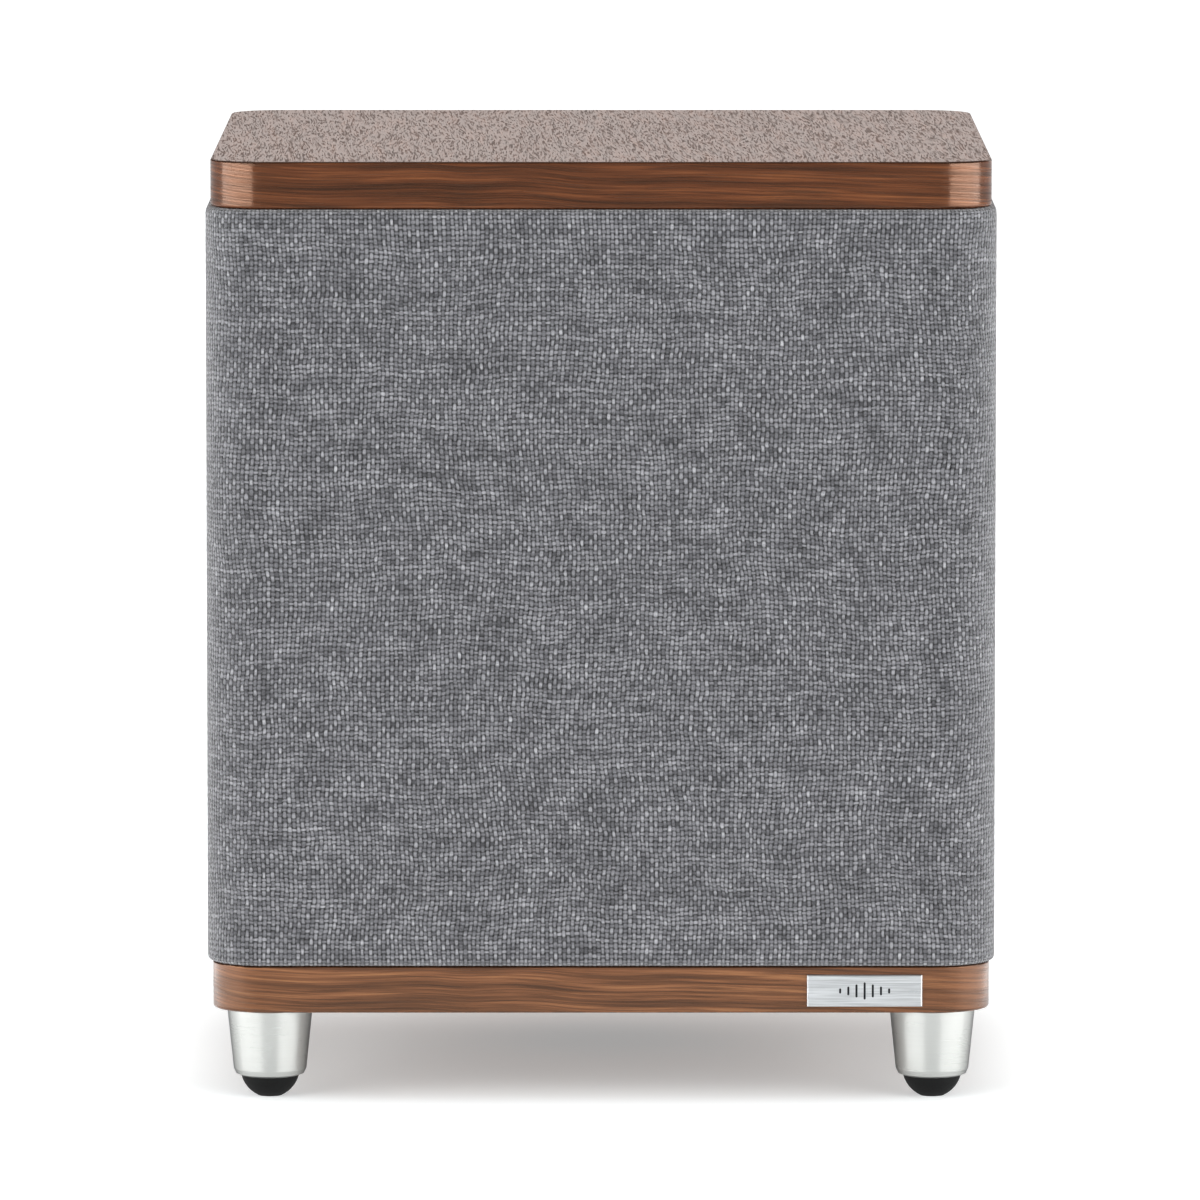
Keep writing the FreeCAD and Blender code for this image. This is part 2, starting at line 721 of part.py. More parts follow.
def make_motor():
    """The magnet assembly: front plate, ferrite ring, and the yoke whose pole the coil slides over."""
    plate_low = "-basket_depth - plate_thick"
    magnet_low = f"{plate_low} - magnet_thick"
    gap = "coil_radius + former_thick + winding_thick + 0.8"
    plate = turned("driver_front_plate", ring(gap, "55", plate_low, "-basket_depth"))
    magnet = turned("driver_magnet", ring("coil_radius + 9", "magnet_radius", magnet_low, plate_low))
    pole = "coil_radius - 0.5"
    yoke = turned(
        "driver_yoke",
        [
            ("8", f"{magnet_low} - plate_thick"),
            ("magnet_radius - 2", f"{magnet_low} - plate_thick"),
            ("magnet_radius - 2", magnet_low),
            (pole, magnet_low),
            (pole, "1 - basket_depth"),
            ("22", "3 - basket_depth"),
            ("8", "3 - basket_depth"),
        ],
    )
    return [at_driver(piece) for piece in (plate, magnet, yoke)]


def make_moving_parts():
    """Cone, dust cap, former and winding, which slide together along the axis."""
    outer_former, rim = "coil_radius + former_thick", "cone_radius"
    cone = turned(
        "cone",
        [
            (outer_former, "-35"),
            (rim + " - 4", "-2"),
            (rim, "-2"),
            (rim, "0"),
            (rim + " - 4.6", "0"),
            (outer_former, "-32.8"),
        ],
    )
    cap = turned(
        "dust_cap",
        [
            ("0", "-14", "(34.4 * 34.4 + 12 * 12) / 24", 1),
            ("0", "-15.2"),
            ("33.2", "-26.9", "(33.2 * 33.2 + 11.7 * 11.7) / 23.4", -1),
            ("34.4", "-26"),
        ],
    )
    former = turned("coil_former", ring("coil_radius", outer_former, "-79", "-31"))
    winding = turned("voice_coil", ring(outer_former, f"{outer_former} + winding_thick", "-77", "-55"))
    return [at_driver(piece) for piece in (cone, cap, former, winding)]


def make_suspension():
    """The half-roll surround, the corrugated spider and the flexible coil leads."""
    middle, outer, inner = "cone_radius + roll_radius", "roll_radius", "roll_radius - rubber_thick"
    surround = turned(
        "surround",
        [
            ("cone_radius - 4.4", "0"),
            (f"{middle} - ({inner})", "0"),
            (middle, inner, inner, -1),
            (f"{middle} + {inner}", "0", inner, -1),
            (f"{middle} + {outer} + 5.4", "0"),
            (f"{middle} + {outer} + 5.4", "rubber_thick"),
            (f"{middle} + {outer}", "rubber_thick"),
            (middle, outer, f"{outer} + 0.1", 1),
            (f"{middle} - {outer}", "rubber_thick", f"{outer} + 0.1", 1),
            ("cone_radius - 4.4", "rubber_thick"),
        ],
    )
    waves, wave_high, cloth = 5, 2.2, 0.6
    start, stop = size("coil_radius + former_thick + 3"), 60.5
    steps = 2 * waves
    pitch = (stop - start) / steps
    crest = [(start + pitch * (i + 0.5), wave_high * (1 if i % 2 else -1)) for i in range(steps)]
    top = [("coil_radius + former_thick + 0.1", "0"), (start, "0"), *crest, (stop, "0"), ("69", "0")]
    low = [(r, f"{z} - {cloth}") for r, z in reversed(top)]
    spider = turned("spider", [(r, f"{z} - 37.4") for r, z in top] + [(r, f"{z} - 37.4") for r, z in low])
    leads = []
    for side in (-1, 1):
        route = [(9 * side, -52, -15.7), (9 * side, -56, -24), (9 * side, -68, -27)]
        route += [(6 * side, -79, -32), (6 * side, -79, -44)]
        leads.append((tube("tinsel_lead", route, 0.8), [("0", "0", "0")]))
    return [at_driver(surround), at_driver(spider), at_driver(group("tinsel_leads", leads))]


def make_driver_fittings():
    gasket = turned("driver_gasket", ring("basket_mouth + 1.4", "screw_circle - 4.2", "rubber_thick", "3.4"))
    strip = block("terminal_strip", ("-13", "-80.6", "-60"), ("13", "-69", "-44"))
    seat = doc.addObject("Part::Cone", "terminal_seat")
    for prop, expression in (("Radius1", "70.02"), ("Radius2", "74.02"), ("Height", "basket_depth - 42")):
        bind(seat, prop, expression)
    put(seat, z="-basket_depth")
    tabs = []
    for i, u in enumerate(("-6", "6")):
        tabs.append(block(f"terminal_tab_{i}", (f"{u} - 3.1", "-77", "-68"), (f"{u} + 3.1", "-76.2", "-60")))
    terminals = fuse("driver_terminals", [cut("seated_strip", strip, seat), *tabs])
    screw = turned(
        "driver_screw",
        [
            ("0", "-14"),
            ("2", "-14"),
            ("2", "0"),
            ("3.7", "0"),
            ("3.7", "1.4"),
            ("2.6", "2.4"),
            ("1.5", "2.4"),
            ("1.5", "1"),
            ("0", "1"),
        ],
    )
    turns = [i * math.pi / 4 for i in range(8)]
    reach = size("screw_circle")
    ring_places = [(reach * math.cos(a), reach * math.sin(a), 0) for a in turns]
    screws = group("driver_screws", [(screw.Shape, ring_places)])
    return [at_driver(piece) for piece in (gasket, terminals, screws)]


# ---------------------------------------------------------------- the amplifier; local +Z is out of the back

# Where each control sits on the plate: u to the right seen from behind, v up from the middle.
VOLUME = ("-60", "8")
CROSSOVER = ("-14", "8")
PHASE = ("32", "8")
MODE = ("68", "8")
LED = ("0", "32")
INPUTS = [("-72", "-42"), ("-48", "-42")]
INLET = ("48", "-82")
ROCKER = ("2", "-82")
FINS = 19


def make_plate():
    """The plate that carries the amplifier, its seal, screws and heat sink."""
    half_u, half_v = "amp_width / 2", "amp_high / 2"
    plate = new_body("amp_plate")
    slab = pad(plate, rectangle(new_sketch(plate, "XY_Plane", PLATE_IN), half_u, half_v), "amp_thick")
    soften(plate, slab, upright_edge, "4")
    through_holes(plate, amp_screw_places(), "2.1", top=PLATE_OUT)
    through_holes(plate, [VOLUME, CROSSOVER], "4.2", top=PLATE_OUT)
    through_holes(plate, [LED], "1.6", top=PLATE_OUT)
    through_holes(plate, INPUTS, "4.35", top=PLATE_OUT)
    for (u, v), half_width, half_height in (
        (PHASE, "4.8", "2.5"),
        (MODE, "5.8", "2.5"),
        (INLET, "23.5", "14.5"),
        (ROCKER, "8", "11.5"),
    ):
        pocket(plate, rectangle(new_sketch(plate, "XY_Plane", PLATE_OUT), half_width, half_height, u, v))
    gasket = new_body("amp_gasket")
    pad(gasket, rectangle(new_sketch(gasket, "XY_Plane"), half_u, half_v), "gasket_thick")
    inner = rectangle(new_sketch(gasket, "XY_Plane", PLATE_IN), f"{half_u} - 11", f"{half_v} - 11")
    pocket(gasket, inner)
    through_holes(gasket, amp_screw_places(), "2.1", top=PLATE_IN)
    return [at_back(plate), at_back(gasket), make_heat_sink(), make_amp_fasteners()]


def make_heat_sink():
    body = new_body("heat_sink")
    pad(body, rectangle(new_sketch(body, "XY_Plane"), "75", "28"), "3")
    fin_sketch = rectangle(new_sketch(body, "XY_Plane", "3"), "0.8", "28", "-74.2", "0")
    fin = pad(body, fin_sketch, "9.5")
    pattern = body.newObject("PartDesign::LinearPattern", "heat_sink_fins")
    pattern.Originals = [fin]
    pattern.Direction = (next(f for f in body.Origin.OriginFeatures if f.Role == "X_Axis"), [""])
    pattern.Length = 148.4
    pattern.Occurrences = FINS
    body.Tip = pattern
    doc.recompute()
    at_back(body, "0", "76")
    bind(body, "Placement.Base.y", f"{REAR_FACE} + {PLATE_OUT}")
    return body


def make_amp_fasteners():
    """Ten pan-head screws round the plate, and the nuts of the two controls."""
    screw = turned(
        "amp_screw",
        [
            ("0", "-11"),
            ("1.9", "-11"),
            ("1.9", PLATE_OUT),
            ("3.6", PLATE_OUT),
            ("3.6", f"{PLATE_OUT} + 1"),
            ("2.4", f"{PLATE_OUT} + 2.1"),
            ("1.4", f"{PLATE_OUT} + 2.1"),
            ("1.4", f"{PLATE_OUT} + 0.9"),
            ("0", f"{PLATE_OUT} + 0.9"),
        ],
    )
    nut = new_body("control_nut")
    angles = [i * math.pi / 3 for i in range(6)]
    hexagon = [(5.6 * math.cos(a), 5.6 * math.sin(a)) for a in angles]
    pad(nut, outline(new_sketch(nut, "XY_Plane", PLATE_OUT), hexagon), "2")
    through_holes(nut, [("0", "0")], "4", top=f"{PLATE_OUT} + 2")
    screws = [(u, v, "0") for u, v in amp_screw_places()]
    nuts = [(u, v, "0") for u, v in (VOLUME, CROSSOVER)]
    return at_back(group("amp_fasteners", [(screw.Shape, screws), (nut.Shape, nuts)]))


def make_boards_inside():
    """Circuit boards and what they carry, behind the plate."""
    amp_board = block("amp_board_blank", ("-80", "25", "-29.6"), ("80", "105", "-28"))
    control_board = block("control_board_blank", ("-86", "-58", "-14.6"), ("86", "20", "-13"))
    standoff = rod("standoff", "3", f"{PLATE_IN} + 28", z="-28")
    big_cap, small_cap = rod("big_cap", "12.5", "32", z="-61.6"), rod("small_cap", "5", "14", z="-43.6")
    device = block("power_device", ("-8", "-10", "-4.2"), ("8", "10", PLATE_IN))
    doc.recompute()
    stand_places = [(u, v, "0") for u in ("-72", "72") for v in ("33", "97")]
    cap_places = [("-28", "72", "0"), ("28", "72", "0")]
    small_places = [(u, "45", "0") for u in ("-62", "-44", "44", "62")]
    caps = group("capacitors", [(big_cap.Shape, cap_places), (small_cap.Shape, small_places)])
    device_places = [(u, "70", "0") for u in ("-54", "-18", "18", "54")]
    devices = group("output_transistors", [(device.Shape, device_places)])
    stands = group("board_standoffs", [(standoff.Shape, stand_places)])
    boards = []
    for name, blank in (("amp_board", amp_board), ("control_board", control_board)):
        boards.append(group(name, [(blank.Shape, [("0", "0", "0")])]))
    return [at_back(piece) for piece in (*boards, caps, devices, stands)]


def make_rotary_controls():
    """Two potentiometers; each shaft turns in its bushing and carries a knob."""
    deep, bush_top = "-12.9", f"{PLATE_OUT} + 2.6"
    case = block("pot_case", ("-8", "-9", deep), ("8", "9", PLATE_IN))
    bush = rod("pot_bush", "4", f"{bush_top} - {PLATE_IN}", z=PLATE_IN)
    bore = rod("pot_bore", "shaft_radius + shaft_play", "30", z="-6")
    pot = cut("pot_master", fuse("pot_solid", [case, bush]), bore)
    made = [at_back(group("potentiometers", [(pot.Shape, [(*p, "0") for p in (VOLUME, CROSSOVER)])]))]
    low = f"{PLATE_OUT} + 0.8"
    high = f"{low} + knob_length"
    for name, (u, v) in (("volume", VOLUME), ("crossover", CROSSOVER)):
        shaft = turned(f"{name}_shaft", ring("0", "shaft_radius", "-5", f"{high} - 2"))
        knob = turned(
            f"{name}_knob",
            [
                ("0", f"{high} - 2"),
                ("shaft_radius", f"{high} - 2"),
                ("shaft_radius", f"{low} + 4"),
                ("knob_radius - 2", f"{low} + 4"),
                ("knob_radius - 2", low),
                ("knob_radius", low),
                ("knob_radius - 0.4", f"{high} - 1"),
                ("knob_radius - 1.4", high),
                ("0", high),
            ],
        )
        groove = circle(new_sketch(knob, "XY_Plane", high), "knob_radius + 0.1", "0", "0.7")
        flute = pocket(knob, groove, "knob_length - 2")
        round_pattern(knob, flute, 24)
        pointer = rectangle(new_sketch(knob, "XY_Plane", high), "0.5", "2.6", "0", "knob_radius - 3.6")
        pocket(knob, pointer, "0.6")
        made += [at_back(shaft, u, v), at_back(knob, u, v)]
    return made


def make_slide_switches():
    """The phase switch has two places, the mode switch three."""
    frames, made = [], []
    switches = (("phase", PHASE, "4.7", ("-4.4", "0.4")), ("mode", MODE, "5.7", ("-2.4", "2.4")))
    for name, place, half_slot, reach in switches:
        shell = block(f"{name}_shell", ("-11", "-4.5", "-8.2"), ("11", "4.5", PLATE_IN))
        well = block(f"{name}_well", (f"-{half_slot}", "-2.35", "-5"), (half_slot, "2.35", "2"))
        frames.append((cut(f"{name}_frame", shell, well), place))
        left, right = reach
        foot = block(f"{name}_foot", (left, "-2", "-4.5"), (right, "2", f"{PLATE_OUT} + 0.6"))
        low, high = (f"{left} + 1", "-2", PLATE_OUT), (f"{right} - 1", "2", f"{PLATE_OUT} + 3.6")
        grip = block(f"{name}_grip", low, high)
        slider = fuse(f"{name}_slider", [foot, grip])
        made.append(at_back(slider, *place))
    doc.recompute()
    shells = group("switch_frames", [(frame.Shape, [(*place, "0")]) for frame, place in frames])
    return [at_back(shells), *made]


def make_inputs():
    """Two phono sockets: a shouldered metal barrel round an insulated core, on an insulating washer."""
    shoulder, tip = f"{PLATE_OUT} + 1.5", f"{PLATE_OUT} + 10.2"
    barrel = turned(
        "phono_barrel",
        [
            ("3.4", "-6"),
            ("3.8", "-6"),
            ("3.8", shoulder),
            ("4.15", shoulder),
            ("4.15", tip),
            ("3.4", tip),
        ],
    )
    washer = turned("phono_washer", ring("3.8", "6.6", PLATE_OUT, shoulder))
    core = turned(
        "phono_core",
        [
            ("0", "-6"),
            ("3.4", "-6"),
            ("3.4", f"{PLATE_OUT} + 9.4"),
            ("1.65", f"{PLATE_OUT} + 9.4"),
            ("1.65", "-4"),
            ("0", "-4"),
        ],
    )
    places = [(*p, "0") for p in INPUTS]
    shells = group("phono_barrels", [(barrel.Shape, places)])
    insulators = group("phono_insulators", [(washer.Shape, places), (core.Shape, places)])
    lamp = turned(
        "status_light",
        [
            ("0", "-4"),
            ("1.5", "-4"),
            ("1.5", f"{PLATE_OUT} + 0.4"),
            ("0", f"{PLATE_OUT} + 1.9", "1.5", 1),
        ],
    )
    return [at_back(shells), at_back(insulators), at_back(lamp, *LED)]


def make_mains_inlet():
    """A mains inlet with its blades, and a fuse drawer that slides out below the socket."""
    shell = new_body("mains_inlet")
    pad(shell, rectangle(new_sketch(shell, "XY_Plane", "-22"), "23.2", "14.2"), f"22 + {PLATE_OUT}")
    pad(shell, rectangle(new_sketch(shell, "XY_Plane", PLATE_OUT), "25", "16.5"), "2.5")
    face = f"{PLATE_OUT} + 2.5"
    half_socket = [("12.2", "-4.5"), ("12.2", "8"), ("8.2", "12.1")]
    socket = half_socket + [(f"-{u}", v) for u, v in reversed(half_socket)]
    pocket(shell, outline(new_sketch(shell, "XY_Plane", face), socket), f"12 + {face}")
    pocket(shell, rectangle(new_sketch(shell, "XY_Plane", face), "12.2", "3.8", "0", "-9.6"), f"16 + {face}")
    blade = block("blade", ("-1", "-2", "-12"), ("1", "2", "2"))
    earth = block("earth_blade", ("-1", "-2", "-12"), ("1", "2", "3"))
    doc.recompute()
    blade_places = [("-7", "3", "0"), ("7", "3", "0")]
    blades = group("inlet_blades", [(blade.Shape, blade_places), (earth.Shape, [("0", "7.5", "0")])])
    body = block("drawer_body", ("-11.8", "-13", "-15"), ("11.8", "-6.2", face))
    front = block("drawer_front", ("-11.8", "-13", face), ("11.8", "-6.2", f"{face} + 1.2"))
    lip = block("drawer_lip", ("-5", "-13", f"{face} + 1.2"), ("5", "-11.6", f"{face} + 3"))
    bed = block("fuse_bed", ("-10.3", "-12.3", "-12"), ("10.3", "0", "-5"))
    drawer = cut("fuse_drawer", fuse("drawer_solid", [body, front, lip]), bed)
    link = rod("fuse", "2.6", "20")
    put(link, REARWARD.multiply(Rotation(Vector(0, 1, 0), 90)))
    bind(link, "Placement.Base.x", f"-({INLET[0]}) + 10")
    bind(link, "Placement.Base.y", f"{REAR_FACE} - 8.5")
    bind(link, "Placement.Base.z", f"{MIDDLE} + {INLET[1]} - 9.6")
    return [at_back(shell, *INLET), at_back(blades, *INLET), at_back(drawer, *INLET), link]


def make_power_rocker():
    """A rocker on a pin in its frame, resting tilted one way."""
    frame = new_body("rocker_frame")
    pad(frame, rectangle(new_sketch(frame, "XY_Plane", "-14"), "7.8", "11.3"), f"14 + {PLATE_OUT}")
    pad(frame, rectangle(new_sketch(frame, "XY_Plane", PLATE_OUT), "9.2", "13.2"), "2")
    top = f"{PLATE_OUT} + 2"
    pocket(frame, rectangle(new_sketch(frame, "XY_Plane", top), "6.6", "10.25"), f"8 + {top}")
    seat = circle(new_sketch(frame, "YZ_Plane", "-7.5"), "0", "0", "1.25")
    pocket(frame, seat, "15", reverse=True)
    radius = "rocker_radius"
    paddle = new_body("power_rocker")
    side = [
        (f"{radius} * cos(38)", f"{radius} * sin(38)", radius, 1),
        ("0", "4.4"),
        (f"-{radius} * cos(38)", f"{radius} * sin(38)"),
        (f"-{radius} * cos(10)", f"-{radius} * sin(10)", radius, 1),
        (f"{radius} * cos(10)", f"-{radius} * sin(10)"),
    ]
    pad(paddle, outline(new_sketch(paddle, "XY_Plane"), side), "12.6", midplane=True)
    pad(paddle, circle(new_sketch(paddle, "XY_Plane"), "0", "0", "1.2"), "14.8", midplane=True)
    on_edge = Rotation(Vector(0, 1, 0), -90)
    tilt = Rotation(Vector(1, 0, 0), size("rocker_tilt"))
    put(paddle, tilt.multiply(on_edge), x=f"-({ROCKER[0]})", y=REAR_FACE, z=f"{MIDDLE} + {ROCKER[1]}")
    return [at_back(frame, *ROCKER), paddle]


def make_power_supply():
    """A toroidal transformer bolted to the cabinet's floor, and the lead to the driver."""
    floor = BODY_LOW
    toroid = turned("mains_transformer", ring("12", "40", floor, f"{floor} + 36"))
    shape = toroid.Tip
    soften(toroid, shape, lambda e: e.Length > 60, "7")
    bolt = turned(
        "transformer_bolt",
        [
            ("0", f"{floor} - 10"),
            ("3", f"{floor} - 10"),
            ("3", f"{floor} + 36.2"),
            ("28", f"{floor} + 36.2"),
            ("28", f"{floor} + 37.7"),
            ("6", f"{floor} + 37.7"),
            ("6", f"{floor} + 42"),
            ("0", f"{floor} + 42"),
        ],
    )
    for piece in (toroid, bolt):
        put(piece, x="-82", y="62")
    back, middle, face = size(REAR_FACE), size(MIDDLE), size(BAFFLE_FRONT)
    end = face + 64.2
    route = [(20, back - 29.6, middle + 34), (20, back - 44, middle + 34), (36, 66, middle + 14)]
    route += [(49, 40, middle - 24), (52, 6, middle - 56), (34, -20, middle - 74)]
    route += [(0, -29, middle - 76.6), (0, end + 14, middle - 76.6)]
    lead = tube("speaker_lead", route, 2.2)
    connector = Part.makeBox(19, 14, 7, Vector(-9.5, end, middle - 80.2))
    slots = [Part.makeBox(6.6, 5, 1.2, Vector(x - 3.3, end, middle - 77.2)) for x in (-6, 6)]
    connector = connector.cut(Part.makeCompound(slots))
    origin = [("0", "0", "0")]
    return [toroid, bolt, group("speaker_lead", [(lead, origin), (connector, origin)])]


def check(parts):
    """Stops the build if any object failed or a piece isn't a sound solid."""
    for thing in doc.Objects:
        if {"Invalid", "Error"} & set(thing.State):
            raise RuntimeError(f"{thing.Label} is {thing.State}")
    for piece in parts:
        shape = piece.Shape
        if shape.isNull() or not shape.isValid() or not shape.Solids:
            raise RuntimeError(f"{piece.Label} has no sound shape")
        if any(solid.Volume <= 0 for solid in shape.Solids):
            raise RuntimeError(f"{piece.Label} holds a solid that is inside out")


def main():
    parts = [
        *make_boards(),
        *make_feet(),
        *make_badge(),
        *make_cabinet(),
        *make_port(),
        *make_grille(),
        make_basket(),
        *make_motor(),
        *make_moving_parts(),
        *make_suspension(),
        *make_driver_fittings(),
        *make_plate(),
        *make_boards_inside(),
        *make_rotary_controls(),
        *make_slide_switches(),
        *make_inputs(),
        *make_mains_inlet(),
        *make_power_rocker(),
        *make_power_supply(),
    ]
    doc.recompute()
    check(parts)
    os.makedirs("parts", exist_ok=True)
    for piece in parts:
        piece.Shape.exportStep(f"parts/{piece.Label}.step")
    print(f"{len(parts)} pieces")


main()
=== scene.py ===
"""Looks of a compact active subwoofer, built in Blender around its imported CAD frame.

Everything is in the row frame: metres, +Z up, cloth front towards -Y, amplifier towards +Y.
Patterns and outlines are laid out in millimetres of that frame, so that grain and weave have their real size.
"""

import json
import math

import bmesh
import bpy
import numpy as np
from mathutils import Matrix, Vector


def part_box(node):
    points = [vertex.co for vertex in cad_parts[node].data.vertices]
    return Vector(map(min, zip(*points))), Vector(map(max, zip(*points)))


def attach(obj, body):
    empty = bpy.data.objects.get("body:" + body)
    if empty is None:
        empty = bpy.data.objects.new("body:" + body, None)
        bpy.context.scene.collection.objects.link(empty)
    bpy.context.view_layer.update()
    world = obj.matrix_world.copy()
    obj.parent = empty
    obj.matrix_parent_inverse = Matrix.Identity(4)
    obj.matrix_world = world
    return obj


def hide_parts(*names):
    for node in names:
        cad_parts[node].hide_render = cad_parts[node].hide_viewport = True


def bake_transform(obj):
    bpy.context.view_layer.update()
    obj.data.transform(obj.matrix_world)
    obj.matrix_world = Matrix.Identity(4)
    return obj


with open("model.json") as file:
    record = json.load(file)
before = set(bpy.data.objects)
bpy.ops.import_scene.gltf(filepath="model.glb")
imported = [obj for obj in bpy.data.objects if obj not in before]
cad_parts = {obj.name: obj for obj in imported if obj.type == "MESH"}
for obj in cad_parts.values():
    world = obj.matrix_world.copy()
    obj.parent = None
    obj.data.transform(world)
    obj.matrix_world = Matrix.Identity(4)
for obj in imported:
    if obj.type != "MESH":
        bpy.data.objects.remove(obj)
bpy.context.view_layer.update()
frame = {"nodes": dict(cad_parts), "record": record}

MM = 0.001
NODES = frame["nodes"]
WHITE = (1.0, 1.0, 1.0, 1.0)

# The cloth, in mm: the pitch of its threads, the rounding of its edges, how far they turn in over the frame,
# its radius at the two front corners, and how far its upper and lower edges stand past the CAD solid.
WARP_PITCH, WEFT_PITCH = 1.63, 1.89
SHOULDER = 1.8
LIP = 7.0
FRONT_CORNER = 22.0
PROUD = 0.3


# ---------------------------------------------------------------- short ways to wire a material


def linear(red, green, blue):
    """A display colour from 0 to 255 as the linear colour that sockets take."""
    def one(value):
        share = value / 255
        return share / 12.92 if share <= 0.04045 else ((share + 0.055) / 1.055) ** 2.4

    return (one(red), one(green), one(blue), 1.0)


class Finish:
    """One Principled material, with short calls that add a node and return what comes out of it."""

    def __init__(self, name, colour, roughness, **constants):
        self.material = bpy.data.materials.new(name)
        self.material.use_nodes = True
        self.tree = self.material.node_tree
        self.surface = self.tree.nodes["Principled BSDF"]
        self.shade("Base Color", colour)
        self.shade("Roughness", roughness)
        for label, value in constants.items():
            self.shade(label.replace("_", " "), value)

    def feed(self, socket, value):
        """Gives a socket a constant or a wire."""
        if isinstance(value, bpy.types.NodeSocket):
            self.tree.links.new(value, socket)
        else:
            socket.default_value = value

    def shade(self, label, value):
        """Gives the shader's own socket a constant or a wire."""
        self.feed(self.surface.inputs[label], value)

    def node(self, kind, *inputs, **settings):
        made = self.tree.nodes.new("ShaderNode" + kind)
        for key, value in settings.items():
            setattr(made, key, value)
        for socket, value in zip(made.inputs, inputs):
            self.feed(socket, value)
        return made

    def millimetres(self):
        """Where the shaded point is in the row frame, as three outputs in millimetres."""
        where = self.node("TexCoord").outputs["Object"]
        return self.split(self.vector("MULTIPLY", where, (1000, 1000, 1000)))

    def facing(self):
        """The surface's normal in the row frame, as three outputs."""
        return self.split(self.node("TexCoord").outputs["Normal"])

    def vector(self, operation, *values):
        return self.node("VectorMath", *values, operation=operation).outputs[0]

    def split(self, vector):
        return self.node("SeparateXYZ", vector).outputs

    def join(self, x, y, z):
        return self.node("CombineXYZ", x, y, z).outputs[0]

    def math(self, operation, first, *others):
        """An operation on one value, or on a row of values from left to right."""
        if not others:
            return self.node("Math", first, operation=operation).outputs[0]
        for value in others:
            first = self.node("Math", first, value, operation=operation).outputs[0]
        return first

    def plus(self, *values):
        return self.math("ADD", *values)

    def minus(self, *values):
        return self.math("SUBTRACT", *values)

    def times(self, *values):
        return self.math("MULTIPLY", *values)

    def ratio(self, *values):
        return self.math("DIVIDE", *values)

    def noise(self, where, scale=1.0, detail=2.0, rough=0.5):
        made = self.node("TexNoise")
        for label, value in (("Vector", where), ("Scale", scale), ("Detail", detail), ("Roughness", rough)):
            self.feed(made.inputs[label], value)
        return made.outputs["Fac"]

    def span(self, value, low, high, to_low=0.0, to_high=1.0, smooth=False):
        """value from low..high carried to to_low..to_high, and held beyond the ends."""
        kind = "SMOOTHSTEP" if smooth else "LINEAR"
        made = self.node("MapRange", value, low, high, to_low, to_high, interpolation_type=kind)
        return made.outputs[0]

    def mix(self, share, first, second, blend="MIX"):
        """The colour first where share is 0 and second where it is 1."""
        made = self.node("Mix", data_type="RGBA", blend_type=blend)
        for index, value in ((0, share), (6, first), (7, second)):
            self.feed(made.inputs[index], value)
        return made.outputs[2]

    def choose(self, share, first, second):
        """The number first where share is 0 and second where it is 1."""
        made = self.node("Mix", data_type="FLOAT")
        for index, value in ((0, share), (2, first), (3, second)):
            self.feed(made.inputs[index], value)
        return made.outputs[0]

    def ramp(self, value, stops):
        """A colour for value, from (place, colour) stops in rising order."""
        made = self.node("ValToRGB", value)
        elements = made.color_ramp.elements
        while len(elements) < len(stops):
            elements.new(0.5)
        for element, (place, colour) in zip(elements, stops):
            element.position, element.color = place, colour
        return made.outputs["Color"]

    def bump(self, height, distance):
        """height, from 0 to 1, raises the surface by distance millimetres."""
        made = self.node("Bump")
        for label, value in (("Height", height), ("Distance", distance * MM), ("Strength", 1.0)):
            self.feed(made.inputs[label], value)
        self.shade("Normal", made.outputs[0])


# ---------------------------------------------------------------- materials


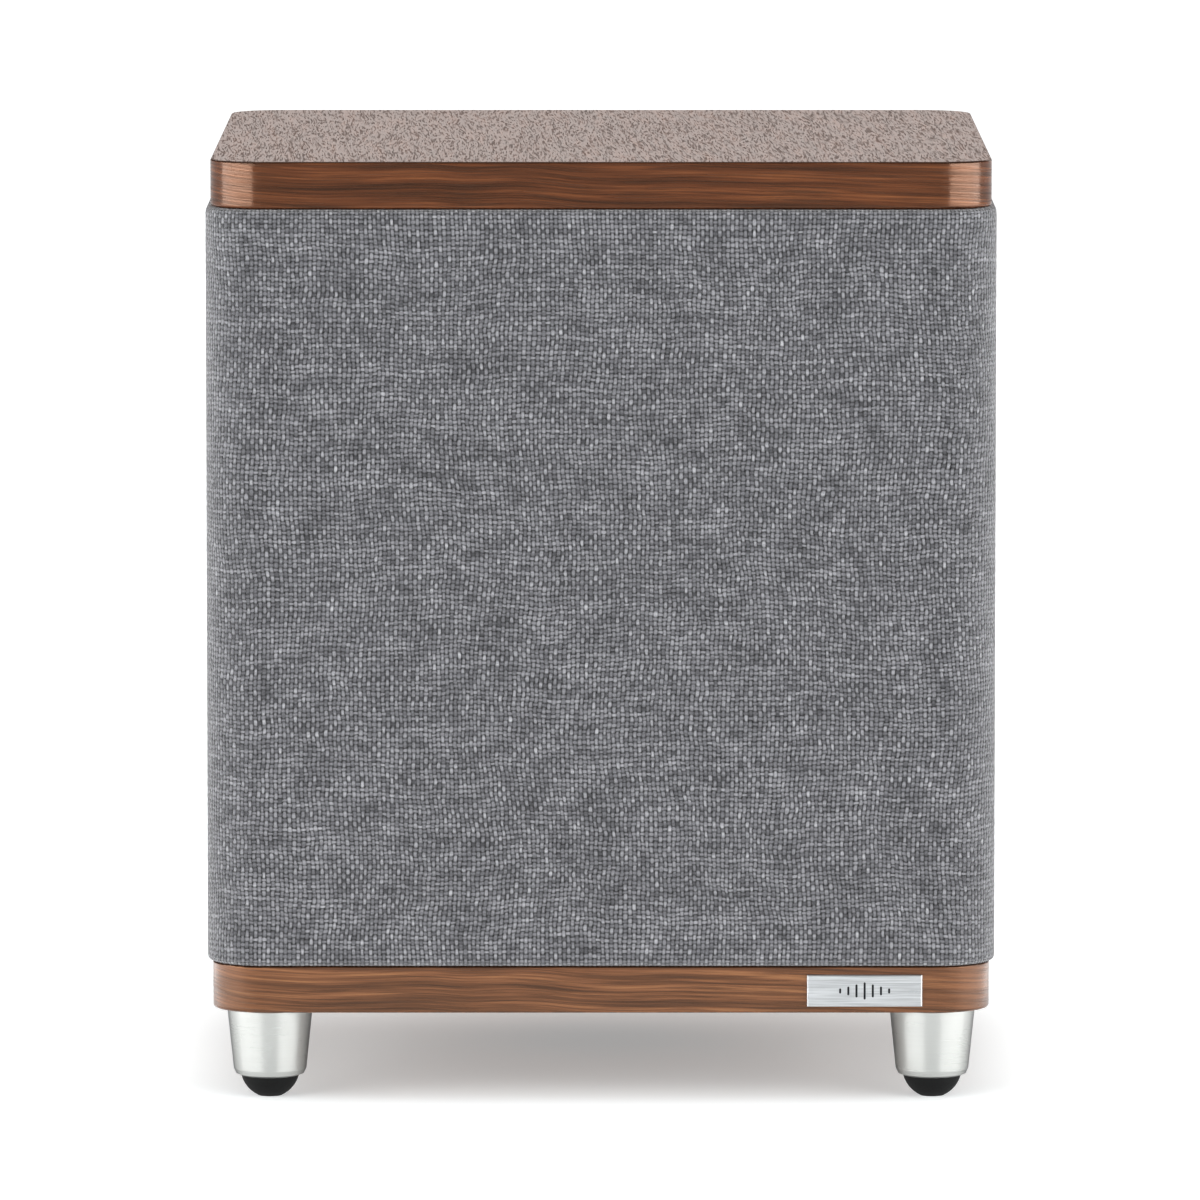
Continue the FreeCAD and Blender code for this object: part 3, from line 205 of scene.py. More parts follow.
def walnut():
    """Oiled walnut veneer: grain along the band round the edges, and front to back on the flat faces."""
    m = Finish("walnut", WHITE, 0.4, Specular_IOR_Level=0.85, Specular_Tint=(1.0, 0.62, 0.44, 1.0))
    x, y, z = m.millimetres()
    rise = m.facing()[2]
    flat = m.span(m.math("ABSOLUTE", rise), 0.6, 0.75)

    # On the band the grain leans a little and drifts up and down. On the flat faces it curls.
    drift = m.noise(m.join(m.times(x, 0.011), m.times(y, 0.011), 0.0))
    height = m.plus(z, m.times(x, 0.028), m.times(drift, 9.0))
    curl = m.noise(m.join(m.ratio(x, 45.0), m.ratio(y, 90.0), z))
    ripple = m.noise(m.join(m.ratio(x, 14.0), m.ratio(y, 36.0), z))
    across = m.plus(x, m.plus(m.times(curl, 6.0), ripple), m.times(y, 0.03))
    shorter = 2.6

    def grain(length, thick, detail, rough=0.5):
        """Streaks of that length and thickness in mm on the band, and shorter ones on the flat faces."""
        along = m.ratio(y, length)
        side = m.join(m.ratio(x, length), along, m.ratio(height, thick))
        top = m.join(m.ratio(across, thick), m.times(along, shorter), z)
        return m.choose(flat, m.noise(side, 1.0, detail, rough), m.noise(top, 1.0, detail, rough))

    bands = grain(150.0, 3.2, 3.0, 0.55)
    fibres = grain(50.0, 0.9, 4.0, 0.6)
    pores = m.span(grain(30.0, 0.5, 1.0), 0.48, 0.66)
    colour = m.ramp(
        m.plus(m.times(bands, 0.55), m.times(fibres, 0.45)),
        [
            (0.37, linear(33, 12, 4)),
            (0.46, linear(64, 31, 13)),
            (0.54, linear(87, 46, 24)),
            (0.64, linear(120, 71, 40)),
        ],
    )

    # The base board is paler than the top board, the pores are dark, and so are the rounded upper edges.
    pale = m.mix(1.0, colour, (1.45, 1.9, 2.3, 1), "MULTIPLY")
    colour = m.mix(m.span(z, 100.0, 200.0), pale, colour)
    colour = m.mix(m.times(pores, 0.6), colour, linear(30, 14, 7))
    edge = m.times(m.span(rise, 0.1, 0.3), m.span(rise, 0.9, 0.99, 1.0, 0.0))
    m.shade("Base Color", m.mix(m.times(edge, 0.85), colour, linear(34, 18, 11)))

    oiled = m.span(m.plus(pores, m.times(fibres, 0.3)), 0.0, 1.3, 0.1, 0.34)
    open_pores = m.times(flat, m.span(pores, 0.0, 1.0, 0.07, 0.2))
    m.shade("Roughness", m.plus(oiled, open_pores))
    relief = m.times(fibres, m.minus(0.5, m.times(flat, 0.44)))
    m.bump(m.minus(relief, m.times(pores, flat, 0.05)), 0.07)
    return m.material


def grille_fabric():
    """Grey mélange cloth in plain weave. Its UV map counts millimetres along and across the threads."""
    m = Finish(
        "grille_fabric",
        WHITE,
        0.9,
        Specular_IOR_Level=0.2,
        Sheen_Weight=0.6,
        Sheen_Roughness=0.45,
    )
    u, v, _ = m.split(m.node("TexCoord").outputs["UV"])
    across, along = m.ratio(u, WARP_PITCH), m.ratio(v, WEFT_PITCH)
    column, row = m.math("ROUND", across), m.math("ROUND", along)
    aside, above = m.minus(across, column), m.minus(along, row)

    # sign is 1 where the warp passes over the weft and -1 where it passes under. The even number
    # keeps the sum of column and row above 0.
    even = 4000.0
    odd = m.math("MODULO", m.plus(column, row, even), 2.0)
    sign = m.minus(1.0, m.times(odd, 2.0))

    def yarn(off, onward, lean, width, bias):
        """Height of one thread: round across its width, and lifted or sunk along it by lean."""
        share = m.ratio(m.times(off, 2.0), width)
        inside = m.math("MAXIMUM", m.minus(1.0, m.times(share, share)), 0.0)
        lift = m.times(m.math("COSINE", m.times(onward, math.pi)), lean, 0.4)
        return m.times(m.math("SQRT", inside), m.plus(lift, bias))

    def along_warp(step, length, layer, *quality):
        """Noise that differs from one warp thread to the next and changes over that length in mm."""
        return m.noise(m.join(m.times(column, step), m.ratio(v, length), layer), 1.0, *quality)

    def along_weft(step, length, layer, *quality):
        """The same along the weft threads."""
        return m.noise(m.join(m.ratio(u, length), m.times(row, step), layer), 1.0, *quality)

    fat_warp, fat_weft = along_warp(5.13, 2.6, 3.0), along_weft(5.13, 3.0, 6.0)
    warp = yarn(aside, above, sign, m.span(fat_warp, 0.3, 0.7, 0.66, 1.04), 0.68)
    weft = yarn(above, aside, m.times(sign, -1.0), m.span(fat_weft, 0.3, 0.7, 0.46, 0.86), 0.62)
    over = m.math("GREATER_THAN", warp, weft)
    relief = m.math("MAXIMUM", warp, weft)

    hairs = m.noise(m.join(m.times(u, 2.6), m.times(v, 2.6), 2.0), 1.0, 3.0, 0.6)
    cloud = m.noise(m.join(m.ratio(u, 14.0), m.ratio(v, 14.0), 5.0), 1.0, 3.0, 0.6)
    warp_tone = along_warp(7.31, 6.0, 0.0, 3.0, 0.65)
    weft_tone = along_weft(7.31, 16.0, 9.0, 3.0, 0.65)
    thread = m.choose(over, weft_tone, warp_tone)
    colour = m.ramp(
        m.plus(m.times(thread, 0.62), m.times(hairs, 0.22), m.times(cloud, 0.16), m.times(over, 0.03)),
        [
            (0.38, linear(64, 64, 67)),
            (0.50, linear(105, 105, 109)),
            (0.60, linear(139, 139, 143)),
            (0.72, linear(178, 178, 182)),
        ],
    )
    # Painted shade and highlight: the colour is darkened in the hollows between the threads and lightened a
    # little on their crowns, as light would fall on the weave.
    gap = m.span(relief, 0.25, 0.85, 0.06, 1.1)
    m.shade("Base Color", m.mix(1.0, colour, m.join(gap, gap, gap), "MULTIPLY"))
    m.bump(m.plus(relief, m.times(hairs, 0.2)), 0.45)
    return m.material


def coating(name, colour, roughness, pitch, depth, uneven=0.15, **constants):
    """Moulded, painted or coated stuff: an even colour with a fine grain of that pitch and depth in mm."""
    m = Finish(name, colour, roughness, **constants)
    where = m.join(*m.millimetres())
    fine = m.noise(where, 1.0 / pitch)
    broad = m.noise(where, 0.03, 3.0)
    dark = tuple(channel * (1 - uneven) for channel in colour[:3]) + (1.0,)
    m.shade("Base Color", m.mix(m.span(broad, 0.35, 0.65), dark, colour))
    polished, dull = roughness * 0.85, min(roughness * 1.15, 1.0)
    m.shade("Roughness", m.span(m.plus(broad, fine), 0.6, 1.4, polished, dull))
    m.bump(fine, depth)
    return m.material


def phono_plastic():
    """Coloured washers of the two inputs: white for the left channel, red for the right one."""
    m = Finish("phono_plastic", WHITE, 0.4)
    x, y, z = m.millimetres()
    low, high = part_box("phono_insulators")
    left = m.math("GREATER_THAN", x, (low.x + high.x) / 2 / MM)
    fine = m.noise(m.join(x, y, z), 1.2, 3.0)
    shade = m.ramp(fine, [(0.3, (0.82, 0.82, 0.82, 1)), (0.7, WHITE)])
    colour = m.mix(left, linear(188, 30, 28), linear(226, 226, 222))
    m.shade("Base Color", m.mix(1.0, colour, shade, "MULTIPLY"))
    m.shade("Roughness", m.span(fine, 0.3, 0.7, 0.3, 0.45))
    m.bump(fine, 0.006)
    return m.material


def metal(name, colour, roughness, stretch=(1.0, 1.0, 1.0), depth=0.004, worn=0.86, sheer=None, **constants):
    """Bare or plated metal. stretch gives the lengths in mm of its fine lines along X, Y and Z, and sheer
    is the direction across the grooves, in which an Anisotropic metal spreads its highlights."""
    m = Finish(name, colour, roughness, Metallic=1.0, **constants)
    where = m.join(*m.millimetres())
    lines = m.noise(m.vector("DIVIDE", where, stretch), 1.0, 3.0)
    smudge = m.noise(where, 0.06, 3.0)
    dull = tuple(channel * worn for channel in colour[:3]) + (1.0,)
    m.shade("Base Color", m.mix(m.span(lines, 0.35, 0.65), dull, colour))
    if sheer:
        m.shade("Tangent", m.join(*sheer))
    rough = m.plus(m.times(lines, 0.6), m.times(smudge, 0.6))
    m.shade("Roughness", m.span(rough, 0.3, 0.9, roughness * 0.75, roughness * 1.3))
    m.bump(lines, depth)
    return m.material


MATERIALS = {
    "walnut": walnut(),
    "grille_fabric": grille_fabric(),
    "black_plastic": coating("black_plastic", linear(30, 30, 31), 0.5, 0.5, 0.02),
    "gloss_black_plastic": coating("gloss_black_plastic", linear(24, 24, 25), 0.25, 0.9, 0.004),
    "cabinet_board": coating("cabinet_board", linear(33, 33, 34), 0.62, 0.6, 0.05),
    "wadding": coating("wadding", linear(205, 205, 198), 0.95, 1.2, 0.8),
    "foot_metal": metal(
        "foot_metal",
        linear(194, 195, 192),
        0.29,
        stretch=(60.0, 60.0, 0.3),
        depth=0.0003,
        worn=0.97,
        sheer=(0.0, 0.0, 1.0),
        Anisotropic=0.72,
        Specular_Tint=(0.32, 0.32, 0.33, 1.0),
    ),
    "badge_metal": metal("badge_metal", linear(212, 214, 216), 0.32, (18.0, 1.0, 0.4), 0.002, 0.7),
    "rubber": coating("rubber", linear(11, 11, 11), 0.7, 0.7, 0.02, Specular_IOR_Level=0.2),
    "steel": metal("steel", linear(176, 178, 180), 0.35),
    "black_screws": metal("black_screws", linear(44, 44, 46), 0.4, (0.6, 0.6, 0.6), 0.01),
    "basket_metal": coating("basket_metal", linear(38, 38, 40), 0.55, 0.45, 0.04),
    "ferrite": coating("ferrite", linear(58, 58, 61), 0.7, 0.8, 0.06, 0.25),
    "cone_pulp": coating("cone_pulp", linear(36, 36, 38), 0.75, 1.6, 0.12, 0.3),
    "spider_cloth": coating("spider_cloth", linear(176, 140, 72), 0.85, 0.8, 0.2),
    "former": metal("former", linear(190, 190, 188), 0.4),
    "copper": metal("copper", linear(184, 105, 62), 0.3, (20.0, 0.3, 20.0), 0.03),
    "plate_paint": coating("plate_paint", linear(28, 28, 30), 0.55, 0.35, 0.05),
    "heat_sink_metal": coating("heat_sink_metal", linear(26, 26, 28), 0.42, 0.3, 0.01, Metallic=0.5),
    "board": coating("board", linear(24, 74, 44), 0.4, 3.0, 0.03, 0.3),
    "capacitor_sleeve": coating("capacitor_sleeve", linear(30, 34, 48), 0.3, 2.0, 0.005),
    "winding": metal("winding", linear(170, 98, 56), 0.35, (0.8, 0.8, 20.0), 0.15),
    "nickel": metal("nickel", linear(200, 198, 190), 0.2),
    "phono_plastic": phono_plastic(),
    "lamp": coating("lamp", linear(70, 160, 220), 0.15, 1.0, 0.002),
    "fuse_glass": coating("fuse_glass", linear(210, 214, 212), 0.1, 1.0, 0.002),
    "lead_sleeve": coating("lead_sleeve", linear(150, 28, 26), 0.5, 1.0, 0.01),
}


def dress_cad_nodes():
    """Gives each CAD node the material of its own slot in the record."""
    for row in frame["record"]["subparts"]:
        piece = NODES[row["node"]]
        for holder in piece.material_slots:
            holder.material = MATERIALS[row["material_slot"]]


# ---------------------------------------------------------------- meshes


def new_piece(name, points, faces, slot):
    """A smooth mesh piece from points in metres and faces, dressed from a slot."""
    mesh = bpy.data.meshes.new(name)
    mesh.from_pydata([tuple(p) for p in points], [], faces)
    mesh.shade_smooth()
    mesh.materials.append(MATERIALS[slot])
    piece = bpy.data.objects.new(name, mesh)
    bpy.context.scene.collection.objects.link(piece)
    return piece


def solid_piece(name, points, faces, slot, body="cabinet", smooth=True):
    """A closed mesh piece with its faces turned outwards, riding on a body."""
    piece = new_piece(name, points, faces, slot)
    shell = bmesh.new()
    shell.from_mesh(piece.data)
    bmesh.ops.recalc_face_normals(shell, faces=shell.faces)
    shell.to_mesh(piece.data)
    shell.free()
    if not smooth:
        piece.data.shade_flat()
    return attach(piece, body) if body else piece


def grid_faces(wide, tall):
    """Faces of a grid of points kept row by row."""
    corners = [j * wide + i for j in range(tall - 1) for i in range(wide - 1)]
    return [(k, k + 1, k + wide + 1, k + wide) for k in corners]


def grid_rim(wide, tall):
    """Indices of the points round the edge of such a grid, in order."""
    last = (tall - 1) * wide
    there = list(range(wide)) + [j * wide + wide - 1 for j in range(1, tall)]
    return there + [last + i for i in range(wide - 2, -1, -1)] + [j * wide for j in range(tall - 2, 0, -1)]


def driver_place():
    """The Y of the surround's front face and the height of the driver's axis, in metres."""
    low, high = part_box("surround")
    return high.y, (low.z + high.z) / 2


# ---------------------------------------------------------------- the cloth


def wander(rng, s, t):
    """Smooth drift of the threads from straight, in mm: long waves, short waves and a little jitter."""
    drift = rng.normal(0.0, 0.07, s.shape)
    for length, size in ((110.0, 0.45), (60.0, 0.25), (23.0, 0.12), (11.0, 0.09), (6.0, 0.07)):
        for _ in range(3):
            turn, start = rng.uniform(0, 2 * math.pi, 2)
            wave = 2 * math.pi * (s * math.cos(turn) + t * math.sin(turn)) / length
            drift += size * np.sin(wave + start)
    return drift


def freedom(place, span):
    """How far the threads wander: not at all within 2.4 mm of an edge, and fully from 14.4 mm on."""
    return np.clip(np.minimum(place, span - place) / 12 - 0.2, 0, 1)


def thread_places(span, pitch):
    """Threads across a span, with closer ones round the shoulders at both ends."""
    edge = SHOULDER * (1 - np.cos(np.radians([0, 30, 60])))
    return np.concatenate([edge, np.arange(SHOULDER, span - SHOULDER, pitch), span - edge[::-1]])


def u_path(half, front, back):
    """The cloth's outline seen from above, in mm: its length, and a function of the way along it."""
    straight_side = back - (front + FRONT_CORNER)
    quarter = math.pi / 2 * FRONT_CORNER
    length = 2 * (straight_side + quarter + half - FRONT_CORNER)

    def plan(s):
        """Point and inward direction on the outline, s mm from the left rear end."""
        if s > length / 2:
            (x, y), (nx, ny) = plan(length - s)
            return (-x, y), (-nx, ny)
        if s <= straight_side:
            return (-half, back - s), (1.0, 0.0)
        if s <= straight_side + quarter:
            a = (s - straight_side) / FRONT_CORNER
            cos, sin = math.cos(a), math.sin(a)
            return (-half + FRONT_CORNER * (1 - cos), front + FRONT_CORNER * (1 - sin)), (cos, sin)
        return (-half + FRONT_CORNER + s - straight_side - quarter, front), (0.0, 1.0)

    return length, plan


def shoulder(place, span):
    """How far round the shoulder a place is, from 0 on the face to 1 at the very edge."""
    return max(0.0, SHOULDER - place, place - span + SHOULDER) / SHOULDER


def on_shoulder(share, place, span):
    """Where a point lies across the span once it has gone that far round the shoulder."""
    if not share:
        return place
    return SHOULDER * (1 - share) if place < span / 2 else span - SHOULDER * (1 - share)


def stretched_cloth():
    """One sheet round the front and both sides, with rounded shoulders and edges turned in over the frame."""
    low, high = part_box("grille_cloth")
    bottom, top = low.z / MM - PROUD, high.z / MM + PROUD
    rise = top - bottom
    length, plan = u_path(high.x / MM, low.y / MM, high.y / MM)

    # The threads wander everywhere but near the edges, and every second crossing stands out.
    least_lift, most_lift = 0.05, 0.13
    rng = np.random.default_rng(7)
    grid_s, grid_t = np.meshgrid(thread_places(length, WARP_PITCH), thread_places(rise, WEFT_PITCH))
    free_s, free_t = freedom(grid_s, length), freedom(grid_t, rise)
    moved_s = grid_s + wander(rng, grid_s, grid_t) * free_s * free_t
    moved_t = grid_t + wander(rng, grid_s, grid_t) * free_s * free_t
    lift = rng.uniform(least_lift, most_lift, grid_s.shape)

    points, flat, turned = [], [], []
    for j, i in np.ndindex(grid_s.shape):
        s, t = moved_s[j, i], moved_t[j, i]
        p, q = shoulder(s, length), shoulder(t, rise)
        p, q = p * math.sqrt(1 - q * q / 2), q * math.sqrt(1 - p * p / 2)
        depth = SHOULDER * (1 - math.sqrt(max(0.0, 1 - p * p - q * q)))
        s, t = on_shoulder(p, s, length), on_shoulder(q, t, rise)
        thread = lift[j, i] if (i + j) % 2 else -lift[j, i]
        (x, y), (nx, ny) = plan(s)
        inward = depth + (most_lift + thread) * (1 - max(p, q))
        points.append(((x + nx * inward) * MM, (y + ny * inward) * MM, (bottom + t) * MM))
        flat.append((i * WARP_PITCH, j * WEFT_PITCH))
        turned.append(((x + nx * LIP) * MM, (y + ny * LIP) * MM, (bottom + t) * MM))

    tall, wide = grid_s.shape
    faces, rim = grid_faces(wide, tall), grid_rim(wide, tall)
    start = len(points)
    for k, index in enumerate(rim):
        points.append(turned[index])
        j, i = divmod(index, wide)
        over_s, over_t = (i == wide - 1) - (i == 0), (j == tall - 1) - (j == 0)
        flat.append((flat[index][0] + LIP * over_s, flat[index][1] + LIP * over_t))
        following = (k + 1) % len(rim)
        faces.append((index, start + k, start + following, rim[following]))

    cloth = new_piece("stretched_cloth", points, faces, "grille_fabric")
    chart = cloth.data.uv_layers.new(name="threads")
    for loop in cloth.data.loops:
        chart.data[loop.index].uv = flat[loop.vertex_index]
    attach(cloth, "grille")
    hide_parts("grille_cloth")


# ---------------------------------------------------------------- marks on the badge and the plate


def slabs(name, outlines, place, thick, slot):
    """Thin raised plates. Each outline is a list of (u, v) in mm, and place maps (u, v, w) to the frame."""
    points, faces = [], []
    for outline in outlines:
        start, count = len(points), len(outline)
        for w in (-thick, thick):
            points += [place(u, v, w) for u, v in outline]
        faces.append([start + i for i in range(count)])
        faces.append([start + count + i for i in range(count)])
        for i in range(count):
            following = (i + 1) % count
            faces.append([start + i, start + following, start + count + following, start + count + i])
    return solid_piece(name, points, faces, slot, smooth=False)


def bar(u, v, length, width, turn=0.0):
    """Outline of a round-ended bar about (u, v), upright, or leaning clockwise by turn degrees."""
    outline = []
    cos, sin = math.cos(math.radians(turn)), math.sin(math.radians(turn))
    for end in (1, -1):
        for a in np.radians(np.arange(0, 181, 30)):
            along = end * ((length - width) / 2 + width / 2 * math.sin(a))
            aside = end * width / 2 * math.cos(a)
            outline.append((u + aside * cos + along * sin, v - aside * sin + along * cos))
    return outline


def frame_line(left, right, low, high, width):
    """Four bars that draw a rectangle."""
    middle, level = (left + right) / 2, (low + high) / 2
    upright = [bar(u, level, high - low + width, width) for u in (left, right)]
    return upright + [bar(middle, v, right - left + width, width, 90) for v in (low, high)]


def badge_mark():
    """Seven upright bars on the badge, like a level meter: a plain mark that names nobody."""
    low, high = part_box("badge")
    middle = (low + high) / 2

    def place(u, v, w):
        return (middle.x + u * MM, low.y - w * MM, middle.z + v * MM)

    heights, pitch, width = (2.0, 3.4, 5.0, 6.6, 5.0, 3.4, 2.0), 3.1, 0.8
    outlines = [bar((k - 3) * pitch, 0.0, tall, width) for k, tall in enumerate(heights)]
    slabs("badge_mark", outlines, place, 0.05, "black_screws")


def dial_ticks(u, v, reach, width):
    """Eleven ticks about a knob, 30 degrees apart, longer at the middle and the ends of its turn."""
    outlines = []
    for step in range(-5, 6):
        turn = 30.0 * step
        a = math.radians(turn)
        length = 3.2 if step in (-5, 0, 5) else 2.0
        outlines.append(bar(u + reach * math.sin(a), v + reach * math.cos(a), length, width, turn))
    return outlines


def switch_marks(u, low, tick, line):
    """Two ticks over a slide switch, and a line over them."""
    ticks = [bar(u + shift, low, 2.2, tick) for shift in (-3.4, 3.4)]
    return ticks + [bar(u, low + 3.2, 9.0, line, 90)]


def plate_print():
    """Silver print on the amplifier plate: dial ticks, switch marks and frames round the sockets."""
    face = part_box("amp_plate")[1].y
    _, level = driver_place()
    tick, line, margin = 0.55, 0.45, 5
    switches = (32.0, 68.0)

    def place(u, v, w):
        return (-u * MM, face + w * MM, level + v * MM)

    def edges(node):
        """Left, right, low and high of a node as seen from behind, in mm from the driver's axis."""
        low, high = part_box(node)
        return -high.x / MM, -low.x / MM, (low.z - level) / MM, (high.z - level) / MM

    outlines = []
    for knob in ("volume_knob", "crossover_knob"):
        left, right, low, high = edges(knob)
        outlines += dial_ticks((left + right) / 2, (low + high) / 2, (right - left) / 2 + 3.4, tick)
    _, _, _, high = edges("switch_frames")
    for u in switches:
        outlines += switch_marks(u, high + 3.2, tick, line)
    left, right, low, high = edges("phono_insulators")
    outlines += frame_line(left - margin, right + margin, low - margin, high + margin, line)
    outlines += [bar(u, high + 8.4, 5.0, line, 90) for u in (left + 6, right - 6)]
    left, _, low, high = edges("rocker_frame")
    _, right, floor, top = edges("mains_inlet")
    outlines += frame_line(left - margin, right + margin, min(low, floor) - 4, max(high, top) + 4, line)
    slabs("plate_print", outlines, place, 0.04, "nickel")


# ---------------------------------------------------------------- the driver's soft parts


def strip(line, thick):
    """Closed outline of a strip of that thickness along a line of (radius, forward) points."""
    points = np.array(line)
    run = np.gradient(points, axis=0)
    aside = np.stack([-run[:, 1], run[:, 0]], axis=1)
    aside *= thick / 2 / np.linalg.norm(aside, axis=1)[:, None]
    return np.concatenate([points + aside, (points - aside)[::-1]])


def flex(piece):
    """Bakes the piece's placement into its mesh."""
    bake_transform(piece)


def flexing_ring(name, line, thick, node, slot):
    """A strip turned round the driver's axis, in place of the CAD node, which is hidden."""
    front, level = driver_place()
    outline = strip(line, thick)
    steps, count = 144, len(outline)
    points, faces = [], []
    for k in range(steps):
        a = 2 * math.pi * k / steps
        for radius, forward in outline * MM:
            points.append((radius * math.cos(a), front - forward, level + radius * math.sin(a)))
        for i in range(count):
            first, following = k * count, (k + 1) % steps * count
            beside = (i + 1) % count
            faces.append((first + i, first + beside, following + beside, following + i))
    piece = solid_piece(name, points, faces, slot, body=None)
    flex(piece)
    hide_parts(node)


def half_roll():
    """The rubber surround: one half roll between two flat lips."""
    rubber, middle, reach, fillet = 0.9, 82.0, 7.55, 0.7
    level = rubber / 2
    inner, outer = middle - reach, middle + reach
    roll = [
        (middle + reach * math.cos(a), level + (reach - level) * math.sin(a))
        for a in np.radians(np.arange(174, 5, -6))
    ]
    cone_lip = [(r, level) for r in (69.6, 72.0, inner - fillet)]
    basket_lip = [(r, level) for r in (outer + fillet, 92.5, 95.4)]
    flexing_ring("rubber_surround", cone_lip + roll + basket_lip, rubber, "surround", "rubber")


def corrugated_spider():
    """The treated cloth spider: five round waves between a flat collar and a flat rim."""
    thick, depth, wave = 0.6, -37.7, 2.2
    inner, outer = 28.4, 60.5
    half_wave = (outer - inner) / 10
    line = [(25.6, depth), (27.0, depth)]
    for r in np.linspace(inner, outer, 61):
        line.append((r, depth - wave * math.sin(math.pi * (r - inner) / half_wave)))
    line += [(63.0, depth), (69.0, depth)]
    flexing_ring("corrugated_spider", line, thick, "spider", "spider_cloth")


def smooth_path(name, route):
    """Points along the NURBS spline that has the route's points, in metres, as its control points."""
    curve = bpy.data.curves.new(name, "CURVE")
    curve.dimensions = "3D"
    spline = curve.splines.new("NURBS")
    spline.points.add(len(route) - 1)
    for point, place in zip(spline.points, route):
        point.co = (*place, 1.0)
    spline.order_u, spline.use_endpoint_u, spline.resolution_u = 3, True, 14
    holder = bpy.data.objects.new(name, curve)
    path = [vertex.co.copy() for vertex in bpy.data.meshes.new_from_object(holder).vertices]
    bpy.data.objects.remove(holder)
    return path


def tinsel_lead(name, side):
    """One braided lead from the cone to a terminal. Its route counts mm aside, up and forward, from the
    driver's axis and its front."""
    front, level = driver_place()
    route = [(9 * side, -52, -15.7), (9 * side, -56, -24), (9 * side, -68, -27)]
    route += [(6 * side, -79, -32), (6 * side, -79, -44)]
    path = smooth_path(name + "_route", [(u * MM, front - w * MM, level + v * MM) for u, v, w in route])

    sides, radius, braid = 16, 0.75 * MM, 0.09
    points, faces = [], []
    for k, here in enumerate(path):
        run = (path[min(k + 1, len(path) - 1)] - path[max(k - 1, 0)]).normalized()
        aside = Vector((1, 0, 0)).cross(run).normalized()
        upward = run.cross(aside)
        for i in range(sides):
            a = 2 * math.pi * i / sides
            strand = 1 + braid * math.cos(4 * a + 0.9 * k) * math.cos(4 * a - 0.9 * k)
            points.append(here + (aside * math.cos(a) + upward * math.sin(a)) * radius * strand)
    for k in range(len(path) - 1):
        for i in range(sides):
            beside = (i + 1) % sides
            faces.append((k * sides + i, k * sides + beside, (k + 1) * sides + beside, (k + 1) * sides + i))
    faces.append(list(range(sides)))
    faces.append([(len(path) - 1) * sides + i for i in range(sides)])
    lead = solid_piece(name, points, faces, "copper", body=None)
    flex(lead)
    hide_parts("tinsel_leads")


# ---------------------------------------------------------------- the wadding


def lumpy(rng, s, t):
    """Uneven swelling of the wadding from about -1 to 1: waves of many lengths and directions."""
    count = 14
    lumps = np.zeros_like(s)
    for _ in range(count):
        turn, start = rng.uniform(0, 2 * math.pi, 2)
        waves = rng.uniform(2, 9)
        lumps += np.sin(waves * 6 * (s * math.cos(turn) + t * math.sin(turn)) + start) / count
    return lumps


def wadding_pad(name, side, lift):
    """A soft pad on the inside of a side panel, flat against the board and crowned towards the middle.
    lift raises its lower edge by that many mm: on the left, the mains transformer stands below it."""
    low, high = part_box("damping_pads")
    gap, thick, cell, soft_edge = 0.2, 14.6, 4, 16
    board = high.x / MM - gap
    front, floor = low.y / MM, low.z / MM + lift
    width, rise = high.y / MM - front, high.z / MM - floor
    rng = np.random.default_rng(11 + side)
    s, t = np.meshgrid(np.linspace(0, 1, int(width / cell)), np.linspace(0, 1, int(rise / cell)))
    inset = np.minimum(np.minimum(s, 1 - s) * width, np.minimum(t, 1 - t) * rise)
    crown = np.sqrt(1 - (1 - np.clip(inset / soft_edge, 0, 1)) ** 2)
    lumps = lumpy(rng, s, t)
    depth = thick * (0.3 + 0.7 * crown * (0.86 + 0.14 * lumps))
    pull = 1.5 * (1 - crown) * (lumps + 1)
    points = []
    for thickness in (np.zeros_like(s), depth):
        for j, i in np.ndindex(s.shape):
            y = front + s[j, i] * width + pull[j, i] * (0.5 - s[j, i]) * 2
            z = floor + t[j, i] * rise + pull[j, i] * (0.5 - t[j, i]) * 2
            points.append((side * (board - thickness[j, i]) * MM, y * MM, z * MM))
    tall, wide = s.shape
    layer = tall * wide
    faces = []
    for quad in grid_faces(wide, tall):
        faces += [quad, [layer + index for index in quad]]
    rim = grid_rim(wide, tall)
    for index, following in zip(rim, rim[1:] + rim[:1]):
        faces.append((index, following, layer + following, layer + index))
    pad = solid_piece(name, points, faces, "wadding")
    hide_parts("damping_pads")


# ---------------------------------------------------------------- floor, lights and camera


def pale_room():
    """A white room that lights the object only a little."""
    view = bpy.context.scene.view_settings
    view.view_transform, view.look = "Standard", "None"
    world = bpy.data.worlds.new("studio")
    bpy.context.scene.world = world
    world.use_nodes = True
    nodes, links = world.node_tree.nodes, world.node_tree.links
    sky = nodes["Background"]
    sky.inputs["Color"].default_value = WHITE
    seen = nodes.new("ShaderNodeLightPath").outputs["Is Camera Ray"]
    level = nodes.new("ShaderNodeMapRange")
    links.new(seen, level.inputs[0])
    level.inputs[3].default_value, level.inputs[4].default_value = 0.12, 1.0
    links.new(level.outputs[0], sky.inputs["Strength"])


